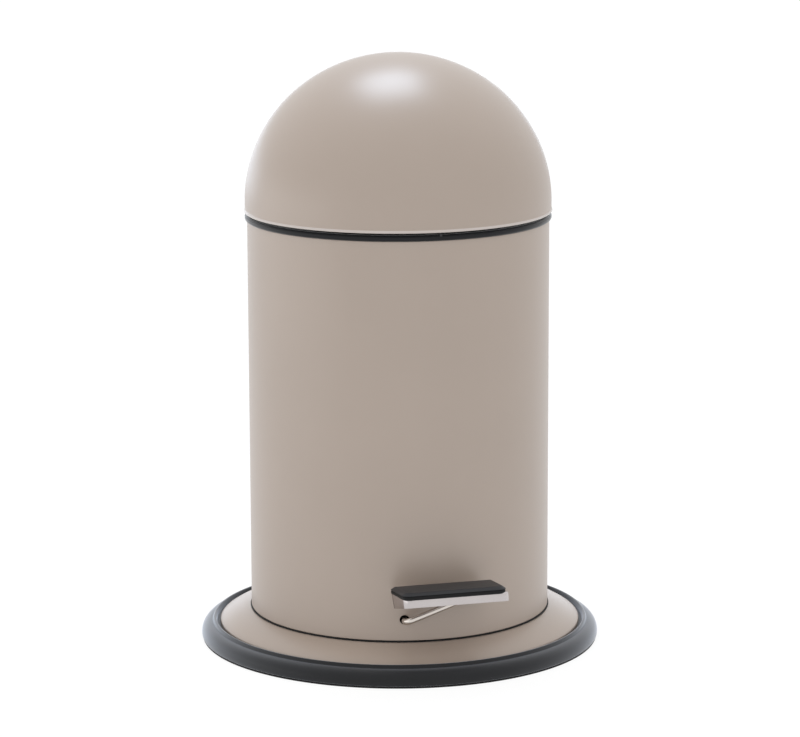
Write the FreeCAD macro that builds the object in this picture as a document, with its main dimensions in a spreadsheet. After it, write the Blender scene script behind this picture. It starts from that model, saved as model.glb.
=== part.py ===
import FreeCAD, Part
import math
import os
import Sketcher

# A small dome-lidded pedal bin of painted steel, in millimetres and degrees.
# The origin is on the floor on the bin's axis, +Z is up and the pedal points to -Y.

doc = FreeCAD.newDocument("pedal_bin")
sheet = doc.addObject("Spreadsheet::Sheet", "sizes")
nodes = []


class Size:
    """A length or an angle: the sheet formula that gives it, and its number."""

    def __init__(self, formula, number):
        self.formula = formula
        self.number = number

    def joined(self, sign, other, number):
        text = other.formula if isinstance(other, Size) else repr(other)
        return Size(f"({self.formula} {sign} {text})", number)

    def __add__(self, other):
        return self.joined("+", other, self.number + plain(other))

    def __sub__(self, other):
        return self.joined("-", other, self.number - plain(other))

    def __mul__(self, other):
        return self.joined("*", other, self.number * plain(other))

    def __truediv__(self, other):
        return self.joined("/", other, self.number / plain(other))

    def __neg__(self):
        return Size(f"(-1 * {self.formula})", -self.number)


def plain(value):
    return value.number if isinstance(value, Size) else value


def sine(angle):
    return Size(f"sin({angle.formula} * 1 deg)", math.sin(math.radians(angle.number)))


def cosine(angle):
    return Size(f"cos({angle.formula} * 1 deg)", math.cos(math.radians(angle.number)))


def tangent(angle):
    return sine(angle) / cosine(angle)


def slope_angle(rise, run):
    ratio = rise / run
    return Size(f"(atan({ratio.formula}) / 1 deg)", math.degrees(math.atan(ratio.number)))


def root(square):
    return Size(f"sqrt({square.formula})", math.sqrt(square.number))


def arm(longest, across):
    """The other short side of a right triangle."""
    return root(longest * longest - across * across)


def size(name, number):
    """Write one driving dimension to the next row of the sheet."""
    size.row += 1
    sheet.set(f"A{size.row}", name)
    sheet.set(f"B{size.row}", str(number))
    sheet.setAlias(f"B{size.row}", name)
    return Size(f"sizes.{name}", number)


size.row = 0
NONE = Size("0", 0.0)
QUARTER_TURN = Size("90", 90.0)
TOUCH = 0.01
VOLUME_SLACK = 0.01

# Body tube
body_radius = size("body_radius", 84.0)
body_wall = size("body_wall", 0.6)
body_height = size("body_height", 219.5)

# Pressed steel skirt: a flat top under the tube, a convex flare and a rolled edge
skirt_reach = size("skirt_reach", 17.8)
skirt_crown = size("skirt_crown", 17.9)
skirt_rim = size("skirt_rim", 10.9)
skirt_gauge = size("skirt_gauge", 0.8)
skirt_roll = size("skirt_roll", 1.3)
skirt_fall = size("skirt_fall", 27.0)
skirt_swell = size("skirt_swell", 60.0)
skirt_shoulder = size("skirt_shoulder", 0.4)
skirt_bore = size("skirt_bore", 20.0)

# Rubber floor ring
ring_reach = size("ring_reach", 9.6)
ring_height = size("ring_height", 11.7)
ring_waist = size("ring_waist", 3.4)
ring_sole_inset = size("ring_sole_inset", 1.6)
ring_sole_round = size("ring_sole_round", 3.6)
ring_crest_inset = size("ring_crest_inset", 5.2)
ring_side_round = size("ring_side_round", 9.4)
ring_lip_gap = size("ring_lip_gap", 0.4)
ring_lip_drop = size("ring_lip_drop", 1.2)
ring_lip_round = size("ring_lip_round", 5.0)
ring_seat = size("ring_seat", 8.0)
ring_depth = size("ring_depth", 14.4)

# Plastic base insert
foot_line = size("foot_line", 1.2)
foot_recess = size("foot_recess", 0.25)
slip_gap = size("slip_gap", 0.3)
insert_floor = size("insert_floor", 2.5)
insert_bore = size("insert_bore", 14.0)
spigot_wall = size("spigot_wall", 1.5)
spigot_height = size("spigot_height", 8.0)
seat_inset = size("seat_inset", 31.5)
seat_wall = size("seat_wall", 2.5)
seat_height = size("seat_height", 15.6)

# Base screws
screw_inset = size("screw_inset", 16.1)
screw_count = size("screw_count", 4)
screw_radius = size("screw_radius", 1.4)
screw_length = size("screw_length", 8.0)
screw_head_radius = size("screw_head_radius", 2.8)
screw_head_height = size("screw_head_height", 1.8)
screw_hole_gap = size("screw_hole_gap", 0.1)
screw_tip_gap = size("screw_tip_gap", 0.6)
screw_post_wall = size("screw_post_wall", 2.4)

# Pedal shaft: a bent wire that turns about its own straight middle run
shaft_turn = size("shaft_turn", 13.7)
shaft_rise = size("shaft_rise", 10.2)
shaft_nose = size("shaft_nose", 7.0)
wire_radius = size("wire_radius", 1.75)
wire_bend_radius = size("wire_bend_radius", 5.0)
wire_knee_radius = size("wire_knee_radius", 8.0)
wire_lead_length = size("wire_lead_length", 2.5)
wire_hole_gap = size("wire_hole_gap", 0.95)
wire_seat_gap = size("wire_seat_gap", 0.05)
wire_tail = size("wire_tail", 1.5)
bearing_gap = size("bearing_gap", 0.05)
crank_droop = size("crank_droop", 9.0)
crank_tail = size("crank_tail", 0.8)

# Shaft clips and their screws
clip_seat_gap = size("clip_seat_gap", 2.5)
clip_width = size("clip_width", 8.0)
clip_gauge = size("clip_gauge", 1.2)
clip_half = size("clip_half", 10.5)
clip_screw_offset = size("clip_screw_offset", 7.2)
clip_screw_radius = size("clip_screw_radius", 1.1)
clip_screw_length = size("clip_screw_length", 7.0)
clip_screw_head_radius = size("clip_screw_head_radius", 2.2)
clip_screw_head_height = size("clip_screw_head_height", 1.5)
seat_notch_gap = size("seat_notch_gap", 2.0)

# Pedal: a pressed plate with turned-down front and sides, under a rubber pad
pedal_gap = size("pedal_gap", 3.5)
pedal_height = size("pedal_height", 48.5)
pedal_tilt = size("pedal_tilt", 5.9)
pedal_width = size("pedal_width", 56.7)
pedal_length = size("pedal_length", 27.05)
pedal_gauge = size("pedal_gauge", 1.0)
pedal_front_depth = size("pedal_front_depth", 5.0)
pedal_back_depth = size("pedal_back_depth", 8.5)
pedal_corner = size("pedal_corner", 1.2)
pad_thickness = size("pad_thickness", 2.2)
pad_edge = size("pad_edge", 0.5)
pad_bevel = size("pad_bevel", 1.6)
saddle_place = size("saddle_place", 12.6)
saddle_side_gap = size("saddle_side_gap", 3.35)
saddle_length = size("saddle_length", 8.0)
saddle_wall = size("saddle_wall", 1.8)

# Collar
collar_overhang = size("collar_overhang", 2.0)
collar_height = size("collar_height", 3.3)
collar_wall = size("collar_wall", 2.0)
collar_depth = size("collar_depth", 12.6)
collar_round = size("collar_round", 1.3)

# Lid, and the rubber buffers that it closes on
lid_gap = size("lid_gap", 1.1)
lid_overhang = size("lid_overhang", 1.2)
lid_wall = size("lid_wall", 0.6)
lid_bead = size("lid_bead", 0.8)
lid_bead_neck = size("lid_bead_neck", 0.7)
lid_straight = size("lid_straight", 5.6)
lid_fullness = size("lid_fullness", 0.9624)
lid_flatness = size("lid_flatness", 1.0329)
lid_notch_gap = size("lid_notch_gap", 0.6)
buffer_count = size("buffer_count", 3)
buffer_radius = size("buffer_radius", 1.2)
buffer_gap = size("buffer_gap", 0.3)

# Lid hinge
hinge_standoff = size("hinge_standoff", 4.3)
hinge_lift = size("hinge_lift", 3.0)
pin_radius = size("pin_radius", 1.5)
pin_fit = size("pin_fit", 0.02)
pin_end = size("pin_end", 0.8)
ear_radius = size("ear_radius", 3.5)
ear_width = size("ear_width", 5.0)
ear_side_gap = size("ear_side_gap", 0.4)
block_margin = size("block_margin", 2.6)
block_root = size("block_root", 3.5)
block_drop = size("block_drop", 7.0)
block_toe = size("block_toe", 2.2)
knuckle_half = size("knuckle_half", 8.8)
knuckle_radius = size("knuckle_radius", 3.0)
bracket_gauge = size("bracket_gauge", 1.2)
bracket_gap = size("bracket_gap", 0.15)
bracket_sweep = size("bracket_sweep", 34.0)
bracket_foot = size("bracket_foot", 0.6)
bracket_height = size("bracket_height", 11.0)
rivet_radius = size("rivet_radius", 1.4)
rivet_turn = size("rivet_turn", 10.6)
rivet_rise = size("rivet_rise", 6.6)
rivet_head_radius = size("rivet_head_radius", 2.4)
rivet_head_height = size("rivet_head_height", 1.0)
rivet_hole_gap = size("rivet_hole_gap", 0.1)
rivet_seat_gap = size("rivet_seat_gap", 0.06)

# Lid lever and lift rod
lid_swing = size("lid_swing", 66.0)
lever_reach = size("lever_reach", 13.5)
lever_half = size("lever_half", 1.0)
lever_tip_depth = size("lever_tip_depth", 1.7)
lever_nose_length = size("lever_nose_length", 1.5)
lever_bead_gap = size("lever_bead_gap", 0.3)
lever_rise = size("lever_rise", 8.5)
lever_gap = size("lever_gap", 0.4)
lever_side_gap = size("lever_side_gap", 0.6)
rod_side = size("rod_side", 20.0)
rod_radius = size("rod_radius", 1.6)
rod_fit = size("rod_fit", 0.1)
rod_seat_gap = size("rod_seat_gap", 0.05)
rod_lug_wall = size("rod_lug_wall", 1.7)
rod_lug_height = size("rod_lug_height", 5.0)
cap_radius = size("cap_radius", 2.5)
cap_length = size("cap_length", 2.0)
cap_notch_gap = size("cap_notch_gap", 1.0)
shoe_radius = size("shoe_radius", 3.5)
shoe_length = size("shoe_length", 6.0)
crank_gap = size("crank_gap", 0.3)
guide_height = size("guide_height", 70.0)
guide_length = size("guide_length", 12.0)
guide_gauge = size("guide_gauge", 1.0)
guide_sweep = size("guide_sweep", 18.0)
guide_weld_gap = size("guide_weld_gap", 0.1)

# Inner bucket and its wire handle
bucket_side_gap = size("bucket_side_gap", 6.1)
bucket_drop = size("bucket_drop", 2.6)
bucket_taper = size("bucket_taper", 7.3)
bucket_lip = size("bucket_lip", 2.2)
bucket_lip_height = size("bucket_lip_height", 3.0)
bucket_wall = size("bucket_wall", 1.5)
bucket_round = size("bucket_round", 6.0)
handle_radius = size("handle_radius", 1.5)
handle_rest_gap = size("handle_rest_gap", 0.3)
handle_fit = size("handle_fit", 0.1)
handle_inset = size("handle_inset", 1.3)
handle_bend = size("handle_bend", 3.0)
handle_end = size("handle_end", 0.4)
lug_radius = size("lug_radius", 4.2)
lug_inset = size("lug_inset", 0.2)
lug_width = size("lug_width", 4.0)

# Heights and radii that follow from these
skirt_radius = body_radius + skirt_reach
skirt_under = skirt_crown - skirt_gauge
ring_radius = skirt_radius + ring_reach
body_foot = skirt_crown + foot_line
body_top = body_foot + body_height
tube_bore = body_radius - body_wall
slip_radius = tube_bore - slip_gap
seat_radius = body_radius - seat_inset
clip_place = seat_radius + clip_seat_gap + clip_width / 2
screw_offset = (body_radius - screw_inset) * cosine(QUARTER_TURN / 2)
floor_top = skirt_crown + insert_floor
bucket_floor = floor_top + seat_height
shaft_height = floor_top + shaft_rise
collar_foot = body_top - collar_depth
collar_top = body_top + collar_height
collar_throat = slip_radius - collar_wall
lid_edge = collar_top + lid_gap
lid_radius = body_radius + lid_overhang
lid_bore = lid_radius - lid_wall
lid_spring = lid_edge + lid_straight
lid_rise = lid_radius * lid_fullness
lid_crown = lid_radius * lid_flatness
hinge_y = lid_radius + hinge_standoff
hinge_z = lid_edge + hinge_lift
rod_y = hinge_y - lever_reach
lever_slope = lid_swing / 2
pedal_back = body_radius + pedal_gap
saddle_start = pedal_width / 2 - pedal_gauge - saddle_side_gap - saddle_length
bucket_top = body_top - bucket_drop
bucket_rim = collar_throat - bucket_side_gap
lug_outside = bucket_rim - lug_inset
handle_z = bucket_top + handle_radius + handle_rest_gap

# The crank meets the lift rod this far to the left of the shaft and this far along it
crank_arm = rod_side * cosine(shaft_turn) + rod_y * sine(shaft_turn)
crank_place = rod_y * cosine(shaft_turn) - rod_side * sine(shaft_turn)

# The lift rod's ends are balls that roll on the crank and under the lid's lever
shoe_lift = (shoe_radius + wire_radius) / cosine(crank_droop) + crank_gap
shoe_centre = shaft_height - crank_arm * tangent(crank_droop) + shoe_lift
cap_fall = cap_radius / cosine(lever_slope) + lever_gap
cap_centre = hinge_z - lever_reach * tangent(lever_slope) - cap_fall

# The dome's side arc is centred at the spring line and runs tangent into the top arc
dome_square = lid_radius * lid_radius + lid_rise * lid_rise - lid_rise * lid_crown * 2
dome_side = dome_square / ((lid_radius - lid_crown) * 2)
dome_side_x = lid_radius - dome_side
dome_top_z = lid_spring + lid_rise - lid_crown
dome_across = dome_side_x / (lid_crown - dome_side)
dome_up = (lid_spring - dome_top_z) / (lid_crown - dome_side)

# The hinge bracket's leaf lies along the inside of the lid
leaf_arc = dome_side - lid_wall - bracket_gap
leaf_radius = lid_bore - bracket_gap
leaf_foot = lid_edge + lid_bead * 2 + lid_bead_neck + bracket_foot
leaf_top = leaf_foot + bracket_height
rivet_z = leaf_foot + rivet_rise

# The lid's lever hangs inside the rim bead
lever_back = arm(lid_radius - lid_bead * 2 - lever_bead_gap, rod_side + lever_half)

doc.recompute()


def origin_feature(body, role):
    return next(item for item in body.Origin.OriginFeatures if item.Role == role)


def new_body(node):
    body = doc.addObject("PartDesign::Body", node)
    body.Label = node
    nodes.append(body)
    return body


def place(item, x=NONE, y=NONE, z=NONE, turn=NONE, axis=(0, 0, 1)):
    """Put a sub-part at a place of the bin's frame, turned about one axis."""
    corner = FreeCAD.Vector(x.number, y.number, z.number)
    spin = FreeCAD.Rotation(FreeCAD.Vector(*axis), turn.number)
    item.Placement = FreeCAD.Placement(corner, spin)
    for name, value in (("x", x), ("y", y), ("z", z)):
        item.setExpression(f"Placement.Base.{name}", value.formula)
    item.setExpression("Placement.Rotation.Angle", turn.formula)


def new_sketch(body, role, lift=NONE, x=NONE, y=NONE, turn=NONE):
    """A sketch on one of the body's own planes, moved off it and turned about its upright."""
    sketch = body.newObject("Sketcher::SketchObject", f"{body.Name}_outline")
    sketch.AttachmentSupport = [(origin_feature(body, role), "")]
    sketch.MapMode = "FlatFace"
    spin = FreeCAD.Rotation(FreeCAD.Vector(0, 1, 0), turn.number)
    sketch.AttachmentOffset = FreeCAD.Placement(FreeCAD.Vector(), spin)
    for name, value in (("x", x), ("y", y), ("z", lift)):
        sketch.setExpression(f"AttachmentOffset.Base.{name}", value.formula)
    sketch.setExpression("AttachmentOffset.Rotation.Angle", turn.formula)
    return sketch


def bind_constraint(sketch, kind, *places, value):
    index = sketch.addConstraint(Sketcher.Constraint(kind, *places, value.number))
    sketch.setExpression(f"Constraints[{index}]", value.formula)


def fix_point(sketch, edge, end, across, up):
    """Tie a point of a sketch to its two coordinates."""
    for kind, axis, value in (("DistanceX", -2, across), ("DistanceY", -1, up)):
        if value is NONE:
            sketch.addConstraint(Sketcher.Constraint("PointOnObject", edge, end, axis))
        else:
            bind_constraint(sketch, kind, -1, 1, edge, end, value=value)


def arc_middle(start, end, radius):
    """The middle of an arc that bulges to the right of its chord, or left if negative."""
    chord = end - start
    half = chord.Length / 2
    rise = abs(radius) - math.sqrt(max(radius * radius - half * half, 0.0))
    normal = FreeCAD.Vector(chord.y, -chord.x, 0).normalize()
    return (start + end) / 2 + normal * math.copysign(rise, radius)


def draw(sketch, corners, arcs=None):
    """A closed outline through corners; arcs gives the radius of the edge after a corner."""
    arcs = arcs or {}
    spots = [FreeCAD.Vector(across.number, up.number, 0) for across, up in corners]
    first = sketch.GeometryCount
    count = len(spots)
    heads = []
    tails = []
    for index, start in enumerate(spots):
        end = spots[(index + 1) % count]
        radius = arcs.get(index)
        if radius is None:
            sketch.addGeometry(Part.LineSegment(start, end))
        else:
            middle = arc_middle(start, end, radius.number)
            sketch.addGeometry(Part.Arc(start, middle, end))
        forward = radius is None or radius.number > 0
        heads.append(1 if forward else 2)
        tails.append(2 if forward else 1)
    for index in range(count):
        after = (index + 1) % count
        joint = (first + index, tails[index], first + after, heads[after])
        sketch.addConstraint(Sketcher.Constraint("Coincident", *joint))
    for index, (across, up) in enumerate(corners):
        fix_point(sketch, first + index, heads[index], across, up)
        radius = arcs.get(index)
        if radius is not None:
            width = radius if radius.number > 0 else -radius
            bind_constraint(sketch, "Radius", first + index, value=width)


def draw_circle(sketch, across, up, radius):
    centre = FreeCAD.Vector(across.number, up.number, 0)
    upward = FreeCAD.Vector(0, 0, 1)
    edge = sketch.addGeometry(Part.Circle(centre, upward, radius.number))
    fix_point(sketch, edge, 3, across, up)
    bind_constraint(sketch, "Radius", edge, value=radius)


def box_corners(low_across, high_across, low_up, high_up):
    return [
        (low_across, low_up),
        (high_across, low_up),
        (high_across, high_up),
        (low_across, high_up),
    ]


def draw_arch(sketch, across, radius, foot, spring):
    """An upright tongue with a round top."""
    corners = [
        (across - radius, foot),
        (across + radius, foot),
        (across + radius, spring),
        (across, spring + radius),
        (across - radius, spring),
    ]
    draw(sketch, corners, {2: radius, 3: radius})


def revolve(body, sketch, sweep=None, axis="V_Axis"):
    """Turn an outline about a sketch axis, all round or half of a sweep to each side."""
    feature = body.newObject("PartDesign::Revolution", f"{body.Name}_turned")
    feature.Profile = sketch
    feature.ReferenceAxis = (sketch, [axis])
    feature.Angle = 360.0
    if sweep:
        feature.Midplane = True
        feature.setExpression("Angle", sweep.formula)
    return feature


def raise_pad(body, sketch, length, both_ways=False, reverse=False):
    feature = body.newObject("PartDesign::Pad", f"{body.Name}_raised")
    feature.Profile = sketch
    feature.SideType = "Symmetric" if both_ways else "One side"
    feature.Reversed = reverse
    feature.setExpression("Length", length.formula)
    return feature


def cut_pocket(body, sketch, length, both_ways=False, reverse=False):
    """Cut an outline out of the body, and stop if nothing came away."""
    doc.recompute()
    before = body.Shape.Volume
    feature = body.newObject("PartDesign::Pocket", f"{body.Name}_cut")
    feature.Profile = sketch
    feature.SideType = "Symmetric" if both_ways else "One side"
    feature.Reversed = reverse
    feature.setExpression("Length", length.formula)
    doc.recompute()
    if not body.Shape.Volume < before:
        raise RuntimeError(f"{feature.Name} cuts nothing")
    return feature


def repeat_round(body, feature, count):
    """Repeat a feature evenly about the bin's axis."""
    pattern = body.newObject("PartDesign::PolarPattern", f"{body.Name}_ring")
    pattern.Originals = [feature]
    pattern.Axis = (origin_feature(body, "Z_Axis"), [""])
    pattern.Angle = 360.0
    pattern.setExpression("Occurrences", count.formula)
    body.Tip = pattern


def round_edges(body, radius, chosen):
    """Fillet the edges of the body's last shape that the test picks out."""
    doc.recompute()
    tip = body.Tip
    names = [f"Edge{n}" for n, edge in enumerate(tip.Shape.Edges, 1) if chosen(edge)]
    if not names:
        raise RuntimeError(f"{body.Name} has no edge to round")
    feature = body.newObject("PartDesign::Fillet", f"{body.Name}_rounded")
    feature.Base = (tip, names)
    feature.setExpression("Radius", radius.formula)


def bent_wire(node, corners, bends, radius):
    """A round wire through corners, with an arc of the given radius at each inner one."""
    runs = [after - before for before, after in zip(corners, corners[1:])]
    edges = []
    start = corners[0]
    for corner, before, after, bend in zip(corners[1:], runs, runs[1:], bends):
        turn = before.getAngle(after)
        setback = bend * math.tan(turn / 2)
        inward = FreeCAD.Vector(before).normalize()
        outward = FreeCAD.Vector(after).normalize()
        arc_start = corner - inward * setback
        arc_end = corner + outward * setback
        to_centre = (outward - inward).normalize()
        middle = corner + to_centre * (bend / math.cos(turn / 2) - bend)
        if (arc_start - start).Length > TOUCH:
            edges.append(Part.LineSegment(start, arc_start).toShape())
        edges.append(Part.Arc(arc_start, middle, arc_end).toShape())
        start = arc_end
    if (corners[-1] - start).Length > TOUCH:
        edges.append(Part.LineSegment(start, corners[-1]).toShape())
    path = Part.Wire(edges)
    section = Part.Wire(Part.makeCircle(radius, corners[0], runs[0]))
    shape = path.makePipeShell([section], True, False)
    expected = math.pi * radius * radius * path.Length
    if abs(shape.Volume / expected - 1) > VOLUME_SLACK:
        raise RuntimeError(f"{node} has {shape.Volume:.1f} and not {expected:.1f} cubic mm")
    item = doc.addObject("Part::Feature", node)
    item.Label = node
    item.Shape = shape
    nodes.append(item)
    return item


def make_base_skirt():
    """The flared foot: flat top, convex flare, rolled edge and a short turned-down rim."""
    body = new_body("base_skirt")
    sketch = new_sketch(body, "XZ_Plane")
    shoulder = body_radius + skirt_shoulder
    roll_x = skirt_radius - skirt_roll
    roll_z = skirt_rim - skirt_roll
    roll_in = skirt_roll - skirt_gauge
    corners = [
        (skirt_bore, skirt_under),
        (shoulder - skirt_gauge, skirt_under),
        (roll_x + roll_in * sine(skirt_fall), roll_z + roll_in * cosine(skirt_fall)),
        (skirt_radius - skirt_gauge, roll_z),
        (skirt_radius - skirt_gauge, ring_seat),
        (skirt_radius, ring_seat),
        (skirt_radius, roll_z),
        (roll_x + skirt_roll * sine(skirt_fall), roll_z + skirt_roll * cosine(skirt_fall)),
        (shoulder, skirt_crown),
        (skirt_bore, skirt_crown),
    ]
    swell_in = skirt_swell - skirt_gauge
    draw(sketch, corners, {1: -swell_in, 2: -roll_in, 6: skirt_roll, 7: skirt_swell})
    revolve(body, sketch)
    hole = new_sketch(body, "XY_Plane", lift=skirt_under)
    draw_circle(hole, screw_offset, screw_offset, screw_radius + screw_hole_gap)
    repeat_round(body, cut_pocket(body, hole, skirt_gauge, reverse=True), screw_count)
    place(body, turn=-shaft_turn)


def make_floor_ring():
    """The rubber ring that the bin stands on; its inner lip hides the skirt's edge."""
    body = new_body("floor_ring")
    sketch = new_sketch(body, "XZ_Plane")
    lip = skirt_radius + ring_lip_gap
    bore = ring_radius - ring_depth
    corners = [
        (bore, NONE),
        (ring_radius - ring_sole_inset, NONE),
        (ring_radius, ring_waist),
        (ring_radius - ring_crest_inset, ring_height),
        (lip, ring_height - ring_lip_drop),
        (lip, ring_seat),
        (bore, ring_seat),
    ]
    draw(sketch, corners, {1: ring_sole_round, 2: ring_side_round, 3: ring_lip_round})
    revolve(body, sketch)


def make_body_shell():
    """The painted steel tube, with the round hole that the pedal's wire comes out of."""
    body = new_body("body_shell")
    sketch = new_sketch(body, "XZ_Plane")
    draw(sketch, box_corners(tube_bore, body_radius, body_foot, body_top))
    revolve(body, sketch)
    hole = new_sketch(body, "XZ_Plane")
    draw_circle(hole, NONE, shaft_height, wire_radius + wire_hole_gap)
    cut_pocket(body, hole, body_radius * 2, reverse=True)
    place(body, turn=-shaft_turn)


def clip_screw_places():
    sides = (-1, 1)
    return [(clip_screw_offset * i, clip_place * j) for i in sides for j in sides]


def make_base_insert():
    """The plastic base inside the tube: bucket seat, shaft bearings and screw posts."""
    body = new_body("base_insert")
    sketch = new_sketch(body, "XZ_Plane")
    flange = body_radius - foot_recess
    spigot_top = body_foot + spigot_height
    spigot_in = slip_radius - spigot_wall
    seat_in = seat_radius - seat_wall
    corners = [
        (insert_bore, skirt_crown),
        (flange, skirt_crown),
        (flange, body_foot),
        (slip_radius, body_foot),
        (slip_radius, spigot_top),
        (spigot_in, spigot_top),
        (spigot_in, floor_top),
        (seat_radius, floor_top),
        (seat_radius, bucket_floor),
        (seat_in, bucket_floor),
        (seat_in, floor_top),
        (insert_bore, floor_top),
    ]
    draw(sketch, corners)
    revolve(body, sketch)

    bearings = new_sketch(body, "XY_Plane", lift=floor_top)
    near = clip_place - clip_width / 2
    far = clip_place + clip_width / 2
    draw(bearings, box_corners(-clip_half, clip_half, near, far))
    draw(bearings, box_corners(-clip_half, clip_half, -far, -near))
    raise_pad(body, bearings, shaft_rise)
    groove = new_sketch(body, "XZ_Plane")
    draw_circle(groove, NONE, shaft_height, wire_radius + bearing_gap)
    cut_pocket(body, groove, far * 2, both_ways=True)
    notch = new_sketch(body, "XZ_Plane")
    notch_half = wire_radius + seat_notch_gap
    draw(notch, box_corners(-notch_half, notch_half, shaft_height - notch_half, bucket_floor))
    cut_pocket(body, notch, seat_radius * 2, both_ways=True)

    post = new_sketch(body, "XY_Plane", lift=floor_top)
    draw_circle(post, screw_offset, screw_offset, screw_radius + screw_post_wall)
    repeat_round(body, raise_pad(body, post, screw_length), screw_count)
    hole = new_sketch(body, "XY_Plane", lift=skirt_crown)
    draw_circle(hole, screw_offset, screw_offset, screw_radius + screw_hole_gap)
    hole_depth = screw_length - skirt_gauge + screw_tip_gap
    repeat_round(body, cut_pocket(body, hole, hole_depth, reverse=True), screw_count)

    pilots = new_sketch(body, "XY_Plane", lift=shaft_height)
    for x, y in clip_screw_places():
        draw_circle(pilots, x, y, clip_screw_radius + screw_hole_gap)
    cut_pocket(body, pilots, clip_screw_length - clip_gauge + screw_tip_gap)
    place(body, turn=-shaft_turn)


def draw_screw(sketch, seat, upward, radius, length, head_radius, head_height):
    """Half of a round-head screw about the sketch's upright; upward is 1 or -1."""
    tip = seat + length * upward
    crown = seat - head_height * upward
    dome = (head_radius * head_radius + head_height * head_height) / (head_height * 2)
    corners = [
        (NONE, crown),
        (head_radius, seat),
        (radius, seat),
        (radius, tip),
        (NONE, tip),
    ]
    draw(sketch, corners, {0: dome * upward})


def make_base_screws():
    """The screws that hold the skirt to the insert, from below."""
    body = new_body("base_screws")
    sketch = new_sketch(body, "XZ_Plane", x=screw_offset, lift=-screw_offset)
    head = (screw_head_radius, screw_head_height)
    draw_screw(sketch, skirt_under, 1, screw_radius, screw_length, *head)
    repeat_round(body, revolve(body, sketch), screw_count)
    place(body, turn=-shaft_turn)


def make_shaft_clip(node, side):
    """A strap with two feet that holds the pedal's shaft down in its groove."""
    body = new_body(node)
    sketch = new_sketch(body, "XZ_Plane", lift=clip_place * -side)
    inner = wire_radius + bearing_gap
    outer = inner + clip_gauge
    foot_top = shaft_height + clip_gauge
    hip = arm(outer, clip_gauge)
    corners = [
        (-clip_half, shaft_height),
        (-inner, shaft_height),
        (NONE, shaft_height + inner),
        (inner, shaft_height),
        (clip_half, shaft_height),
        (clip_half, foot_top),
        (hip, foot_top),
        (NONE, shaft_height + outer),
        (-hip, foot_top),
        (-clip_half, foot_top),
    ]
    draw(sketch, corners, {1: -inner, 2: -inner, 6: outer, 7: outer})
    raise_pad(body, sketch, clip_width, both_ways=True)
    holes = new_sketch(body, "XY_Plane", lift=foot_top)
    for across in (-1, 1):
        hole_radius = clip_screw_radius + screw_hole_gap
        draw_circle(holes, clip_screw_offset * across, clip_place * side, hole_radius)
    cut_pocket(body, holes, clip_gauge)
    place(body, turn=-shaft_turn)


def make_clip_screws():
    """The four screws of the two shaft clips."""
    body = new_body("clip_screws")
    head = (clip_screw_head_radius, clip_screw_head_height)
    for x, y in clip_screw_places():
        sketch = new_sketch(body, "XZ_Plane", x=x, lift=-y)
        seat = shaft_height + clip_gauge
        draw_screw(sketch, seat, -1, clip_screw_radius, clip_screw_length, *head)
        revolve(body, sketch)
    place(body, turn=-shaft_turn)


def make_collar():
    """The black collar on the tube's rim, with the hinge's ears and the rod's upper guide."""
    body = new_body("collar")
    sketch = new_sketch(body, "XZ_Plane")
    edge = body_radius + collar_overhang
    corners = [
        (collar_throat, collar_foot),
        (slip_radius, collar_foot),
        (slip_radius, body_top),
        (edge - collar_round, body_top),
        (edge, body_top + collar_round),
        (edge, collar_top - collar_round),
        (edge - collar_round, collar_top),
        (collar_throat, collar_top),
    ]
    draw(sketch, corners, {3: collar_round, 5: collar_round})
    revolve(body, sketch)

    ear_inside = knuckle_half + ear_side_gap
    block_half = ear_inside + ear_width + block_margin
    behind_tube = body_radius + slip_gap
    block_back = hinge_y + ear_radius
    block = new_sketch(body, "YZ_Plane")
    corners = [
        (behind_tube, body_top - block_drop),
        (behind_tube + block_toe, body_top - block_drop),
        (block_back, body_top),
        (block_back, collar_top),
        (edge - block_root, collar_top),
        (edge - block_root, body_top),
        (behind_tube, body_top),
    ]
    draw(block, corners)
    raise_pad(body, block, block_half * 2, both_ways=True)
    for side in (-1, 1):
        ear = new_sketch(body, "YZ_Plane", lift=ear_inside * side)
        draw_arch(ear, hinge_y, ear_radius, body_top, hinge_z)
        raise_pad(body, ear, ear_width, reverse=side < 0)
    bore = new_sketch(body, "YZ_Plane")
    draw_circle(bore, hinge_y, hinge_z, pin_radius + pin_fit)
    cut_pocket(body, bore, block_half * 2, both_ways=True)

    lug = new_sketch(body, "XY_Plane", lift=collar_foot)
    draw_circle(lug, -rod_side, rod_y, rod_radius + rod_fit + rod_lug_wall)
    raise_pad(body, lug, rod_lug_height)
    guide = new_sketch(body, "XY_Plane", lift=collar_foot)
    draw_circle(guide, -rod_side, rod_y, rod_radius + rod_fit)
    cut_pocket(body, guide, rod_lug_height, reverse=True)
    notch = new_sketch(body, "XY_Plane", lift=collar_top)
    notch_half = cap_radius + cap_notch_gap
    notch_back = lever_back + lever_side_gap
    sides = (-rod_side - notch_half, -rod_side + notch_half)
    draw(notch, box_corners(*sides, rod_y - notch_half, notch_back))
    cut_pocket(body, notch, collar_height + collar_depth - rod_lug_height)


def make_hinge_pin():
    """The steel pin through the collar's ears and the lid's knuckle."""
    body = new_body("hinge_pin")
    sketch = new_sketch(body, "YZ_Plane")
    draw_circle(sketch, hinge_y, hinge_z, pin_radius)
    half = knuckle_half + ear_side_gap + ear_width + pin_end
    raise_pad(body, sketch, half * 2, both_ways=True)


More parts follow.
